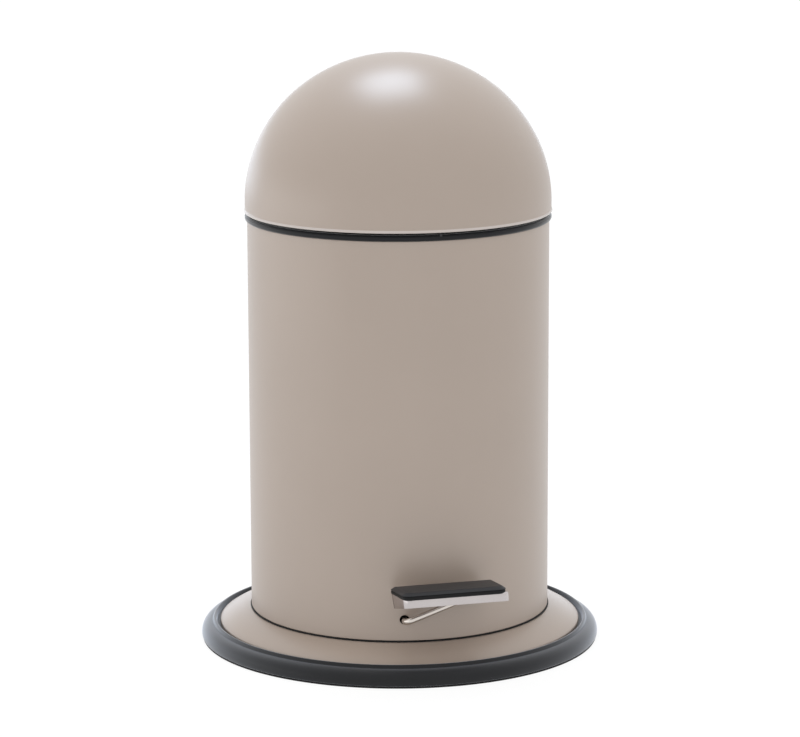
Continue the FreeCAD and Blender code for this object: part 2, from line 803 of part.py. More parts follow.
def make_rod_guide():
    """A strap welded inside the tube that keeps the lift rod upright."""
    body = new_body("rod_guide")
    sketch = new_sketch(body, "XZ_Plane")
    outside = tube_bore - guide_weld_gap
    inside = outside - guide_gauge
    guide_top = guide_height + guide_length
    draw(sketch, box_corners(inside, outside, guide_height, guide_top))
    revolve(body, sketch, sweep=guide_sweep)
    rod_radial = root(rod_side * rod_side + rod_y * rod_y)
    eye_radius = rod_radius + rod_fit + rod_lug_wall
    eye = new_sketch(body, "XY_Plane", lift=guide_height)
    draw_circle(eye, rod_radial, NONE, eye_radius)
    raise_pad(body, eye, guide_length)
    web = new_sketch(body, "XY_Plane", lift=guide_height)
    web_end = outside - guide_gauge / 2
    draw(web, box_corners(rod_radial, web_end, -rod_lug_wall, rod_lug_wall))
    raise_pad(body, web, guide_length)
    bore = new_sketch(body, "XY_Plane", lift=guide_height)
    draw_circle(bore, rod_radial, NONE, rod_radius + rod_fit)
    cut_pocket(body, bore, guide_length, reverse=True)
    place(body, turn=QUARTER_TURN + slope_angle(rod_side, rod_y))


def make_lid_buffers():
    """Small rubber buffers on the collar that the lid's rim comes down on."""
    body = new_body("lid_buffers")
    sketch = new_sketch(body, "XY_Plane", lift=collar_top)
    draw_circle(sketch, NONE, lid_bead - lid_radius, buffer_radius)
    repeat_round(body, raise_pad(body, sketch, lid_gap - buffer_gap), buffer_count)


def on_pedal(x, y, z):
    """A point of the pedal's own tilted frame, in the bin's frame."""
    spin = FreeCAD.Rotation(FreeCAD.Vector(1, 0, 0), -pedal_tilt.number)
    corner = FreeCAD.Vector(0, -pedal_back.number, pedal_height.number)
    return corner + spin.multVec(FreeCAD.Vector(x.number, y.number, z.number))


def place_on_pedal(item, turn=NONE):
    place(item, y=-pedal_back, z=pedal_height, turn=turn - pedal_tilt, axis=(1, 0, 0))


def make_pedal_wire():
    """One bent wire: crank under the lift rod, shaft across the base, arm under the pedal."""
    along = FreeCAD.Vector(sine(shaft_turn).number, cosine(shaft_turn).number, 0)
    left = FreeCAD.Vector(-along.y, along.x, 0)
    up = FreeCAD.Vector(0, 0, 1)
    middle = up * shaft_height.number
    rear = middle + along * crank_place.number
    front = middle - along * (body_radius + shaft_nose).number
    crank_length = crank_arm / cosine(crank_droop) + crank_tail
    droop = left * cosine(crank_droop).number - up * sine(crank_droop).number
    depth = pedal_gauge + wire_seat_gap + wire_radius
    knee = on_pedal(saddle_start - wire_lead_length, -saddle_place, -depth)
    end = on_pedal(saddle_start + saddle_length + wire_tail, -saddle_place, -depth)
    corners = [rear + droop * crank_length.number, rear, front, knee, end]
    bends = [wire_bend_radius.number, wire_bend_radius.number, wire_knee_radius.number]
    bent_wire("pedal_wire", corners, bends, wire_radius.number)


def make_pedal_plate():
    """The pressed steel pedal: top, front and two tapering sides, open at the back."""
    body = new_body("pedal_plate")
    sketch = new_sketch(body, "YZ_Plane")
    corners = [
        (NONE, NONE),
        (-pedal_length, NONE),
        (-pedal_length, -pedal_front_depth),
        (NONE, -pedal_back_depth),
    ]
    draw(sketch, corners)
    raise_pad(body, sketch, pedal_width, both_ways=True)

    def outer_edge(edge):
        middle = edge.BoundBox.Center
        front = abs(middle.y + pedal_length.number) < TOUCH
        top = abs(edge.BoundBox.ZMin) < TOUCH
        lengthwise = edge.BoundBox.YLength > edge.BoundBox.XLength
        upright = edge.BoundBox.ZLength > edge.BoundBox.XLength
        return (front and (top or upright)) or (top and lengthwise)

    round_edges(body, pedal_corner, outer_edge)
    hollow = new_sketch(body, "YZ_Plane")
    front_inside = pedal_gauge - pedal_length
    corners = box_corners(front_inside, pedal_gauge, -pedal_back_depth * 2, -pedal_gauge)
    draw(hollow, corners)
    cut_pocket(body, hollow, pedal_width - pedal_gauge * 2, both_ways=True)
    place_on_pedal(body)


def make_pedal_pad():
    """The rubber tread on the pedal, bevelled all round."""
    item = doc.addObject("Part::Wedge", "pedal_pad")
    item.Label = "pedal_pad"
    nodes.append(item)
    half = pedal_width / 2 - pad_edge
    far = pedal_length - pad_edge
    limits = {
        "Xmin": -half,
        "Xmax": half,
        "Zmin": pad_edge,
        "Zmax": far,
        "Ymin": NONE,
        "Ymax": pad_thickness,
        "X2min": pad_bevel - half,
        "X2max": half - pad_bevel,
        "Z2min": pad_edge + pad_bevel,
        "Z2max": far - pad_bevel,
    }
    for name, value in limits.items():
        item.setExpression(name, value.formula)
    place_on_pedal(item, turn=QUARTER_TURN)


def make_pedal_saddle():
    """The channel under the pedal that the wire's end lies in."""
    body = new_body("pedal_saddle")
    sketch = new_sketch(body, "YZ_Plane", lift=saddle_start)
    middle = -saddle_place
    slot = wire_radius + wire_seat_gap
    half = slot + saddle_wall
    top = -pedal_gauge
    centre = top - slot
    foot = centre - half
    corners = [
        (middle - half, foot),
        (middle + half, foot),
        (middle + half, top),
        (middle + slot, top),
        (middle + slot, centre),
        (middle, centre - slot),
        (middle - slot, centre),
        (middle - slot, top),
        (middle - half, top),
    ]
    draw(sketch, corners, {4: -slot, 5: -slot})
    raise_pad(body, sketch, saddle_length)
    place_on_pedal(body)


def place_on_rod(body):
    place(body, x=-rod_side, y=rod_y)


def make_lift_rod():
    """The rod that carries the pedal's push up to the lid."""
    body = new_body("lift_rod")
    sketch = new_sketch(body, "XY_Plane", lift=shoe_centre)
    draw_circle(sketch, NONE, NONE, rod_radius)
    raise_pad(body, sketch, cap_centre - shoe_centre)
    place_on_rod(body)


def make_rod_shoe():
    """The plastic foot of the lift rod, round below where the crank lifts it."""
    body = new_body("rod_shoe")
    sketch = new_sketch(body, "XZ_Plane")
    socket = rod_radius + rod_seat_gap
    shoe_top = shoe_centre + shoe_length
    corners = [
        (NONE, shoe_centre - shoe_radius),
        (shoe_radius, shoe_centre),
        (shoe_radius, shoe_top),
        (socket, shoe_top),
        (socket, shoe_centre),
        (NONE, shoe_centre),
    ]
    draw(sketch, corners, {0: shoe_radius})
    revolve(body, sketch)
    place_on_rod(body)


def make_rod_cap():
    """The round plastic head of the lift rod, under the lid's lever."""
    body = new_body("rod_cap")
    sketch = new_sketch(body, "XZ_Plane")
    socket = rod_radius + rod_seat_gap
    cap_foot = cap_centre - cap_length
    corners = [
        (NONE, cap_centre),
        (socket, cap_centre),
        (socket, cap_foot),
        (cap_radius, cap_foot),
        (cap_radius, cap_centre),
        (NONE, cap_centre + cap_radius),
    ]
    draw(sketch, corners, {4: cap_radius})
    revolve(body, sketch)
    place_on_rod(body)


def make_lid_dome():
    """The pressed dome with a rolled bead at its rim and a notch behind for the hinge."""
    body = new_body("lid_dome")
    sketch = new_sketch(body, "XZ_Plane")
    crown_in = lid_crown - lid_wall
    side_in = dome_side - lid_wall
    apex = lid_spring + lid_rise
    corners = [
        (lid_radius - lid_bead * 2, lid_edge + lid_bead),
        (lid_radius - lid_bead, lid_edge),
        (lid_radius, lid_edge + lid_bead),
        (lid_radius, lid_spring),
        (dome_across * lid_crown, dome_top_z + dome_up * lid_crown),
        (NONE, apex),
        (NONE, apex - lid_wall),
        (dome_across * crown_in, dome_top_z + dome_up * crown_in),
        (lid_bore, lid_spring),
        (lid_bore, lid_edge + lid_bead * 2 + lid_bead_neck),
    ]
    arcs = {0: lid_bead, 1: lid_bead, 3: dome_side, 4: lid_crown, 6: -crown_in, 7: -side_in}
    draw(sketch, corners, arcs)
    revolve(body, sketch)
    notch = new_sketch(body, "XZ_Plane")
    notch_half = knuckle_half + lid_notch_gap
    notch_top = hinge_z + knuckle_radius + lid_notch_gap
    draw(notch, box_corners(-notch_half, notch_half, lid_edge - lid_gap, notch_top))
    cut_pocket(body, notch, lid_radius * 2)


def make_lid_hinge_bracket():
    """The lid's steel bracket: curved leaf, strap, knuckle and the lever that the rod lifts."""
    body = new_body("lid_hinge_bracket")
    leaf = new_sketch(body, "YZ_Plane")
    rise = leaf_top - lid_spring
    arc_in = leaf_arc - bracket_gauge
    radius_in = leaf_radius - bracket_gauge
    corners = [
        (radius_in, leaf_foot),
        (leaf_radius, leaf_foot),
        (leaf_radius, lid_spring),
        (dome_side_x + arm(leaf_arc, rise), leaf_top),
        (dome_side_x + arm(arc_in, rise), leaf_top),
        (radius_in, lid_spring),
    ]
    draw(leaf, corners, {2: leaf_arc, 4: -arc_in})
    revolve(body, leaf, sweep=bracket_sweep)

    strap = new_sketch(body, "YZ_Plane")
    strap_top = hinge_z + knuckle_radius
    leaf_middle = leaf_radius - bracket_gauge / 2
    draw(strap, box_corners(leaf_middle, hinge_y, strap_top - bracket_gauge, strap_top))
    raise_pad(body, strap, knuckle_half * 2, both_ways=True)
    knuckle = new_sketch(body, "YZ_Plane")
    draw_circle(knuckle, hinge_y, hinge_z, knuckle_radius)
    raise_pad(body, knuckle, knuckle_half * 2, both_ways=True)
    bore = new_sketch(body, "YZ_Plane")
    draw_circle(bore, hinge_y, hinge_z, pin_radius + bearing_gap)
    cut_pocket(body, bore, knuckle_half * 2, both_ways=True)

    lever = new_sketch(body, "YZ_Plane", lift=-rod_side)
    along = cosine(lever_slope)
    down = sine(lever_slope)
    tip = lever_reach / along + lever_tip_depth
    tip_y = hinge_y - tip * along
    tip_z = hinge_z - tip * down
    back = arm(leaf_middle, rod_side)
    corners = [
        (lever_back, hinge_z - (hinge_y - lever_back) * tangent(lever_slope)),
        (lever_back, leaf_foot),
        (back, leaf_foot),
        (back, leaf_foot + lever_rise),
        (tip_y - lever_nose_length * down, tip_z + lever_nose_length * along),
        (tip_y, tip_z),
    ]
    draw(lever, corners)
    raise_pad(body, lever, lever_half * 2, both_ways=True)
    for side in (-1, 1):
        hole = new_sketch(body, "XZ_Plane", turn=rivet_turn * side)
        draw_circle(hole, NONE, rivet_z, rivet_radius + rivet_hole_gap)
        cut_pocket(body, hole, lid_radius * 2)


def make_lid_rivets():
    """The two rivets that hold the bracket's leaf to the lid."""
    body = new_body("lid_rivets")
    rise = rivet_z - lid_spring
    head_rise = rise + rivet_head_radius
    seat = dome_side_x + arm(leaf_arc - bracket_gauge, head_rise) - rivet_seat_gap
    end = dome_side_x + arm(dome_side - lid_wall, rise + rivet_radius) - rivet_seat_gap
    head = seat - rivet_head_height
    square = rivet_head_radius * rivet_head_radius + rivet_head_height * rivet_head_height
    for side in (-1, 1):
        turn = QUARTER_TURN + rivet_turn * side
        sketch = new_sketch(body, "XZ_Plane", y=rivet_z, turn=turn)
        corners = [
            (head, NONE),
            (end, NONE),
            (end, rivet_radius),
            (seat, rivet_radius),
            (seat, rivet_head_radius),
        ]
        draw(sketch, corners, {4: square / (rivet_head_height * 2)})
        revolve(body, sketch, axis="H_Axis")


def make_bucket():
    """The plastic pail, with a lipped rim and two lugs for its handle."""
    body = new_body("bucket")
    sketch = new_sketch(body, "XZ_Plane")
    top_radius = bucket_rim - bucket_lip
    foot_radius = top_radius - bucket_taper
    lip_foot = bucket_top - bucket_lip_height
    bend = bucket_floor + bucket_round
    corners = [
        (NONE, bucket_floor),
        (foot_radius - bucket_round, bucket_floor),
        (foot_radius, bend),
        (top_radius, lip_foot),
        (bucket_rim, lip_foot),
        (bucket_rim, bucket_top),
        (top_radius - bucket_wall, bucket_top),
        (foot_radius - bucket_wall, bend),
        (foot_radius - bucket_round, bucket_floor + bucket_wall),
        (NONE, bucket_floor + bucket_wall),
    ]
    draw(sketch, corners, {1: bucket_round, 7: bucket_wall - bucket_round})
    revolve(body, sketch)
    for side in (-1, 1):
        lug = new_sketch(body, "YZ_Plane", lift=lug_outside * side)
        draw_arch(lug, NONE, lug_radius, lip_foot, handle_z)
        raise_pad(body, lug, lug_width, reverse=side > 0)
    bore = new_sketch(body, "YZ_Plane")
    draw_circle(bore, NONE, handle_z, handle_radius + handle_fit)
    cut_pocket(body, bore, bucket_rim * 2, both_ways=True)


def make_bucket_handle():
    """The pail's wire handle, folded down to the front of its rim."""
    end = (lug_outside + handle_end).number
    side = (lug_outside - lug_width - handle_radius - handle_inset).number
    front = side + handle_bend.number
    outline = [(-end, 0), (-side, 0), (-side, -front), (side, -front), (side, 0), (end, 0)]
    corners = [FreeCAD.Vector(x, y, handle_z.number) for x, y in outline]
    bends = [handle_bend.number, side, side, handle_bend.number]
    bent_wire("bucket_handle", corners, bends, handle_radius.number)


def write_parts():
    """Check every object and every sub-part, then write one file for each sub-part."""
    doc.recompute()
    for item in doc.Objects:
        if "Invalid" in item.State or "Error" in item.State:
            raise RuntimeError(f"{item.Name} failed: {item.State}")
    for item in nodes:
        if item.Shape.isNull() or not item.Shape.isValid():
            raise RuntimeError(f"{item.Label} has no valid shape")
    os.makedirs("parts", exist_ok=True)
    for item in nodes:
        item.Shape.exportStep(f"parts/{item.Label}.step")


make_base_skirt()
make_floor_ring()
make_body_shell()
make_base_insert()
make_base_screws()
make_shaft_clip("front_shaft_clip", -1)
make_shaft_clip("rear_shaft_clip", 1)
make_clip_screws()
make_collar()
make_hinge_pin()
make_rod_guide()
make_lid_buffers()
make_pedal_wire()
make_pedal_plate()
make_pedal_pad()
make_pedal_saddle()
make_lift_rod()
make_rod_shoe()
make_rod_cap()
make_lid_dome()
make_lid_hinge_bracket()
make_lid_rivets()
make_bucket()
make_bucket_handle()
write_parts()
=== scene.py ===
import math

import bmesh
import bpy
from mathutils import Matrix, Vector


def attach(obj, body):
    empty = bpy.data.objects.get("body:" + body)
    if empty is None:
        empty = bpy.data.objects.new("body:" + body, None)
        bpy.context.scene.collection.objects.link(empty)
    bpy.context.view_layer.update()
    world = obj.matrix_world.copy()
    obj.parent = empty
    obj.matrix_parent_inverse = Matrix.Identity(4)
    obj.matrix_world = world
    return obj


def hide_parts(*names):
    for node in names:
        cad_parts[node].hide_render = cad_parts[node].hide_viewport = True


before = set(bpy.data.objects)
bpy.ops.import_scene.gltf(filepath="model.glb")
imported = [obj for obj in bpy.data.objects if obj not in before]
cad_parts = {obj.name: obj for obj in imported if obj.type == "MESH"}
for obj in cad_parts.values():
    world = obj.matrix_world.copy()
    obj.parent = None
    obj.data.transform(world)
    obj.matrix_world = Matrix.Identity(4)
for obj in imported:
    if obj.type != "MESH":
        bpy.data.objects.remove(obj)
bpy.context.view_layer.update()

# A dome-lidded pedal bin. Sizes are in millimetres, as in the solids,
# and become metres in the meshes.
MM = 0.001
TURN_STEPS = 240
SHARP_ANGLE = math.radians(38)
WELD_GAP = 0.004
HOLD = 0.3  # from a round or a broken edge to the point that holds the flat beside it
CUT_PAST = 5.0  # how far a cutting shape reaches past a wall

# Tube and foot
BODY_RADIUS = 84.0
BODY_WALL = 0.6
BODY_FOOT = 18.8
BODY_TOP = 238.6
BODY_EDGE = 0.25
SKIRT_RADIUS = 101.8
SKIRT_CROWN = 17.9
SKIRT_RIM = 10.9
SKIRT_GAUGE = 0.8
SKIRT_ROLL = 1.3
SKIRT_FALL = 27.0
SKIRT_SWELL = 60.0
SKIRT_SHOULDER = 84.4
SKIRT_SHOULDER_HOLD = 0.5
SKIRT_BORE = 20.0

# Gasket between tube and foot
GASKET_BORE = 83.78
GASKET_RADIUS = 84.6
GASKET_FOOT = 17.95
GASKET_TOP = 18.75
GASKET_EDGE = 0.25

# Floor ring and its sole; pairs are radius and height
RING_SEAT = 8.0
RING_BORE = 97.0
RING_FOOT = 111.8
RING_RADIUS = 112.25
RING_FOOT_RISE = 0.5
RING_FOOT_ROUND = 0.6
RING_SIDE_TOP = (108.5, 8.9)
RING_SIDE_ROUND = 6.6
RING_SHOULDER = [(107.9, 9.15), (107.2, 9.35), (106.6, 9.5)]
RING_HOLLOW = ((106.5, 9.52), (106.05, 9.95))
RING_HOLLOW_ROUND = 0.6
RING_LIP_SIDE = (105.85, 10.5)
RING_LIP_TOP = ((105.7, 10.9), (104.2, 10.9))
RING_LIP_ROUND = 0.8
RING_LIP_BACK = [(104.0, 10.2), (103.8, 9.2)]
RING_GROOVE = (103.1, 8.9)
RING_GROOVE_ROUND = 0.65
RING_LEDGE = [(102.6, 8.2), (102.2, 8.15), (102.2, RING_SEAT)]
SOLE_TOP = 1.2
SOLE_INSET = 0.4
SOLE_GAP = 0.04
SOLE_EDGE = [(111.4, 0.0), (111.7, 0.08), (111.8, 0.3)]
SOLE_GROOVES = (99.5, 102.5, 105.5)
GROOVE_WIDTH = 1.1
GROOVE_SLOPE = 0.2
GROOVE_DEPTH = 0.6

# Lid
LID_RADIUS = 85.2
LID_WALL = 0.6
LID_EDGE = 243.0
LID_SPRING = 248.6
LID_RISE = LID_RADIUS * 0.9624
LID_CROWN = LID_RADIUS * 1.0329
LID_BEAD = 0.8
LID_BEAD_OUT = 0.45
LID_BEAD_Z = LID_EDGE + LID_BEAD
LID_NECK = 1.0
LID_NECK_HOLD = 0.2
NOTCH_GAP = 0.6

# Collar and hinge
COLLAR_RADIUS = 85.25
COLLAR_THROAT = 81.1
COLLAR_SLIP = 83.1
COLLAR_FOOT = 226.0
COLLAR_TOP = 241.9
COLLAR_ROUND = 1.3
COLLAR_CHAMFER = (1.15, 1.2)
BLOCK_HALF = 16.8
BLOCK_ROOT = 83.0
BLOCK_FACE = 84.3
BLOCK_TOE = 86.5
BLOCK_BACK = 93.0
BLOCK_DROP = 7.0
BLOCK_LIFT = 0.4
BLOCK_MIDDLE = (88.0, 238.0)
BLOCK_END_SHRINK = 0.95
JOIN_SINK = 0.05
EAR_INSIDE = 9.2
EAR_WIDTH = 5.0
EAR_RADIUS = 3.48
PIN_BORE = 1.52
ROD_X = -20.0
ROD_Y = 76.0
ROD_LUG = 3.4
ROD_BORE = 1.7
ROD_LUG_TOP = 231.0
CAP_NOTCH_HALF = 3.5
CAP_NOTCH_BACK = 81.21
HINGE_Y = 89.5
HINGE_Z = 246.0
KNUCKLE_HALF = 8.8
KNUCKLE_RADIUS = 3.0

# Rubber nubs under the lid
NUB_CIRCLE = 84.2
NUB_TURNS = (0, 120, 240)
NUB_RADIUS = 0.85
NUB_RISE = 0.8
NUB_EDGE = 0.45
NUB_ROOT = 1.3

# Pedal's wire: crank, shaft and arm
SHAFT_TURN = math.radians(13.7)
SHAFT_Z = 30.6
SHAFT_REAR = 69.1
SHAFT_OUT = 7.0
CRANK_LENGTH = 38.7
CRANK_DROP = math.radians(9)
ARM_SPAN = (13.5, 25.5)
ARM_FORWARD = 12.6
WIRE_RADIUS = 1.75
WIRE_GAP = 0.05
WIRE_BENDS = (5.0, 5.0, 8.0)
HOLE_RADIUS = 2.7
HOLE_ROWS = 5

# Pedal; rows are the inset and the height of each loop
PEDAL_BACK = 87.5
PEDAL_Z = 48.5
PEDAL_TILT = math.radians(-5.9)
PEDAL_SHIFT = (0.5, 0.5, 0.0)
PEDAL_HALF = 29.3
PEDAL_LENGTH = 28.1
PEDAL_GAUGE = 1.0
PEDAL_EDGE = 0.18
PEDAL_FRONT_DEPTH = 5.0
PEDAL_BACK_DEPTH = 8.5
PEDAL_CORNER = 4.8
PEDAL_FOLD = 1.4
PEDAL_BACK_RAKE = 4.5
PAD_EDGE = 0.3
PAD_CORNER = 4.6
PAD_CORNER_LOSS = 0.8
PAD_BACK_CORNER = 0.8
PAD_BACK_LOSS = 0.3
PAD_LEAST_CORNER = 0.3
PAD_SHIFT = (-0.4, 0.6, 0.0)
PAD_HALF = 29.0
PAD_REACH = 27.8
PAD_ROWS = (
    (0.6, 1.15), (0.1, 1.2), (0.0, 1.35), (0.15, 1.6), (1.6, 2.7), (1.95, 2.93), (2.4, 3.0))
BACKING_SHIFT = (-0.55, 0.5, 0.0)
BACKING_HALF = 28.75
BACKING_REACH = 28.25
BACKING_ROWS = ((0.3, -0.75), (0.0, -0.65), (0.0, 0.7), (0.1, 0.85), (0.5, 0.95), (0.7, 1.2))

# Bucket and its handle
BUCKET_RIM = 75.0
BUCKET_TOP = 236.0
BUCKET_LIP = 2.2
BUCKET_LIP_HEIGHT = 3.0
BUCKET_LIP_HOLD = 0.4
BUCKET_WALL = 1.5
BUCKET_FOOT = 65.5
BUCKET_FLOOR = 36.0
BUCKET_FLOOR_HOLD = 0.5
BUCKET_ROUND = 6.0
BEAD_Z = 221.0
BEAD_HALF = 1.5
BEAD_ROUND = 1.1
BEAD_SINK = 0.4
LUG_OUTSIDE = 74.8
LUG_WIDTH = 4.0
LUG_RADIUS = 4.2
LUG_BORE = 1.6
LUG_LIFT = 0.6
LUG_BORE_PAST = 2.0
LUG_END_SHRINK = 0.94
HANDLE_Z = 237.8
HANDLE_RADIUS = 1.5
HANDLE_PATH = ((-75.2, 0), (-68, 0), (-68, -71), (68, -71), (68, 0), (75.2, 0))
HANDLE_BENDS = (2.9, 67.9, 67.9, 2.9)

# Screws; the first five are parts of the shank's radius and the head's radius and rise
SCREW_TIP = 0.6
SCREW_CROWN = 0.6
CROSS_REACH = 0.58
CROSS_HALF = 0.13
CROSS_FLOOR = 0.45
BASE_SCREW = {"head": 2.8, "rise": 1.8, "shank": 1.4, "length": 8.0}
BASE_SCREW_SPOT = (58.02, 35.28)
BASE_SCREW_SEAT = 17.1
CLIP_SCREW = {"head": 2.2, "rise": 1.5, "shank": 1.1, "length": 7.0}
CLIP_SCREW_SPOTS = ((-20.97, -55.62), (6.98, 59.03), (-6.98, -59.03), (20.97, 55.62))
CLIP_SCREW_SEAT = 31.8

# Studio
CAMERA_TURN = math.radians(15.6)
CAMERA_DROP = math.radians(11.308)
CAMERA_ROLL = math.radians(-0.197)
CAMERA_SPOT = (-489.0, -1754.1, 517.3)
CAMERA_LENS = 148.9
CAMERA_SENSOR = 36.0
FLOOR_HALF = 6000.0
FLOOR_DROP = 0.05
FLOOR_BOUNCE = 0.85
FLOOR_SHADE = 0.14
FLOOR_WHITE = 0.88
COOL_WHITE = (0.74, 0.85, 1.0)


# Outlines

def arc(centre, radius, start, end, steps):
    """Points along an arc from one angle in degrees to another, ends included."""
    turns = [math.radians(start + (end - start) * i / steps) for i in range(steps + 1)]
    return [(centre[0] + radius * math.cos(t), centre[1] + radius * math.sin(t)) for t in turns]


def arc_between(start, end, radius, steps):
    """Points along an arc of a radius between two points; a positive one bulges right of travel."""
    start, end = Vector(start), Vector(end)
    chord = end - start
    right = Vector((chord.y, -chord.x)).normalized() * math.copysign(1.0, radius)
    centre = (start + end) / 2 - right * math.sqrt(radius ** 2 - (chord.length / 2) ** 2)
    first = math.atan2(start.y - centre.y, start.x - centre.x)
    last = math.atan2(end.y - centre.y, end.x - centre.x)
    sweep = (last - first + math.pi) % (2 * math.pi) - math.pi
    return arc(centre, abs(radius), math.degrees(first), math.degrees(first + sweep), steps)


def softened(corners, steps=5, hold=0.4):
    """A closed outline of corners (x, y, rounding); a point holds each side of a round."""
    count = len(corners)
    spots = [Vector(corner[:2]) for corner in corners]
    setbacks = []
    for i, corner in enumerate(corners):
        before, after = spots[i - 1] - spots[i], spots[(i + 1) % count] - spots[i]
        setbacks.append(corner[2] / math.tan(before.angle(after) / 2) if corner[2] else 0.0)
    outline = []
    for i, corner in enumerate(corners):
        radius = corner[2]
        if not radius:
            outline.append(tuple(spots[i]))
            continue
        ends = []
        for other in (i - 1, (i + 1) % count):
            run = spots[other] - spots[i]
            free = run.length - setbacks[i] - setbacks[other]
            step = run.normalized()
            ends.append((spots[i] + step * setbacks[i],
                         spots[i] + step * (setbacks[i] + min(hold, free / 3))))
        (start, start_hold), (end, end_hold) = ends
        turn = (spots[i] - start).angle_signed(end - spots[i])
        bulge = radius if turn < 0 else -radius
        outline.append(tuple(start_hold))
        outline += arc_between(start, end, bulge, steps)
        outline.append(tuple(end_hold))
    return outline


# Geometry Nodes

def new_tree(name, inputs):
    """An empty tree with named inputs, and its group input and output nodes."""
    tree = bpy.data.node_groups.new(name, "GeometryNodeTree")
    tree.interface.new_socket("Geometry", in_out="INPUT", socket_type="NodeSocketGeometry")
    for label, kind in inputs.items():
        tree.interface.new_socket(label, in_out="INPUT", socket_type=kind)
    tree.interface.new_socket("Geometry", in_out="OUTPUT", socket_type="NodeSocketGeometry")
    return tree, tree.nodes.new("NodeGroupInput"), tree.nodes.new("NodeGroupOutput")


def close_tree(tree, group_in, group_out, geometry):
    """End a tree in realized geometry with its material."""
    realize = tree.nodes.new("GeometryNodeRealizeInstances")
    paint = tree.nodes.new("GeometryNodeSetMaterial")
    tree.links.new(geometry, realize.inputs["Geometry"])
    tree.links.new(realize.outputs["Geometry"], paint.inputs["Geometry"])
    tree.links.new(group_in.outputs["Material"], paint.inputs["Material"])
    tree.links.new(paint.outputs["Geometry"], group_out.inputs["Geometry"])


def turned_tree():
    """Sweep the object's outline once round the bin's axis."""
    tree, group_in, group_out = new_tree("turned_shell", {
        "Steps round": "NodeSocketInt",
        "Sweep radius": "NodeSocketFloat",
        "Weld gap": "NodeSocketFloat",
        "Material": "NodeSocketMaterial",
    })
    nodes, link = tree.nodes, tree.links.new
    outline = nodes.new("GeometryNodeMeshToCurve")
    circle = nodes.new("GeometryNodeCurvePrimitiveCircle")
    upright = nodes.new("GeometryNodeSetCurveNormal")
    upright.mode = "Z_UP"
    sweep = nodes.new("GeometryNodeCurveToMesh")
    weld = nodes.new("GeometryNodeMergeByDistance")
    link(group_in.outputs["Geometry"], outline.inputs["Mesh"])
    link(group_in.outputs["Steps round"], circle.inputs["Resolution"])
    link(group_in.outputs["Sweep radius"], circle.inputs["Radius"])
    link(circle.outputs["Curve"], upright.inputs["Curve"])
    link(upright.outputs["Curve"], sweep.inputs["Curve"])
    link(outline.outputs["Curve"], sweep.inputs["Profile Curve"])
    link(sweep.outputs["Mesh"], weld.inputs["Geometry"])
    link(group_in.outputs["Weld gap"], weld.inputs["Distance"])
    close_tree(tree, group_in, group_out, weld.outputs["Geometry"])
    return tree


def wire_tree():
    """Round the corners of the object's path and sweep a wire along it."""
    tree, group_in, group_out = new_tree("bent_wire", {
        "Wire radius": "NodeSocketFloat",
        "Steps round": "NodeSocketInt",
        "Bend steps": "NodeSocketInt",
        "Material": "NodeSocketMaterial",
    })
    nodes, link = tree.nodes, tree.links.new
    path = nodes.new("GeometryNodeMeshToCurve")
    bend = nodes.new("GeometryNodeInputNamedAttribute")
    bend.data_type = "FLOAT"
    bend.inputs["Name"].default_value = "bend"
    fillet = nodes.new("GeometryNodeFilletCurve")
    fillet.mode = "POLY"
    section = nodes.new("GeometryNodeCurvePrimitiveCircle")
    sweep = nodes.new("GeometryNodeCurveToMesh")
    sweep.inputs["Fill Caps"].default_value = True
    link(group_in.outputs["Geometry"], path.inputs["Mesh"])
    link(path.outputs["Curve"], fillet.inputs["Curve"])
    link(bend.outputs["Attribute"], fillet.inputs["Radius"])
    link(group_in.outputs["Bend steps"], fillet.inputs["Count"])
    link(group_in.outputs["Steps round"], section.inputs["Resolution"])
    link(group_in.outputs["Wire radius"], section.inputs["Radius"])
    link(fillet.outputs["Curve"], sweep.inputs["Curve"])
    link(section.outputs["Curve"], sweep.inputs["Profile Curve"])
    close_tree(tree, group_in, group_out, sweep.outputs["Mesh"])
    return tree


def fastener_tree():
    """Set one fastener on each point, along the point's own direction."""
    tree, group_in, group_out = new_tree("set_fasteners", {
        "Fastener": "NodeSocketObject",
        "Material": "NodeSocketMaterial",
    })
    nodes, link = tree.nodes, tree.links.new
    facing = nodes.new("GeometryNodeInputNamedAttribute")
    facing.data_type = "FLOAT_VECTOR"
    facing.inputs["Name"].default_value = "facing"
    align = nodes.new("FunctionNodeAlignRotationToVector")
    align.axis = "Z"
    model = nodes.new("GeometryNodeObjectInfo")
    spread = nodes.new("GeometryNodeInstanceOnPoints")
    link(group_in.outputs["Fastener"], model.inputs["Object"])
    link(facing.outputs["Attribute"], align.inputs["Vector"])
    link(group_in.outputs["Geometry"], spread.inputs["Points"])
    link(model.outputs["Geometry"], spread.inputs["Instance"])
    link(align.outputs["Rotation"], spread.inputs["Rotation"])
    close_tree(tree, group_in, group_out, spread.outputs["Instances"])
    return tree


def run_tree(piece, tree, values):
    """Give the piece the tree's result as a plain mesh."""
    modifier = piece.modifiers.new(tree.name, "NODES")
    modifier.node_group = tree
    for item in tree.interface.items_tree:
        if item.item_type == "SOCKET" and item.in_out == "INPUT" and item.name in values:
            modifier[item.identifier] = values[item.name]
    keep_result(piece)


def keep_result(piece):
    """Turn the piece's modifiers into its own mesh."""
    view = bpy.context.evaluated_depsgraph_get()
    view.update()
    result = bpy.data.meshes.new_from_object(piece.evaluated_get(view))
    piece.modifiers.clear()
    piece.data = result


# Pieces

def new_piece(name, points, edges=(), faces=()):
    """A mesh object from points in millimetres."""
    mesh = bpy.data.meshes.new(name)
    mesh.from_pydata([Vector(point) * MM for point in points], edges, faces)
    piece = bpy.data.objects.new(name, mesh)
    bpy.context.scene.collection.objects.link(piece)
    return piece


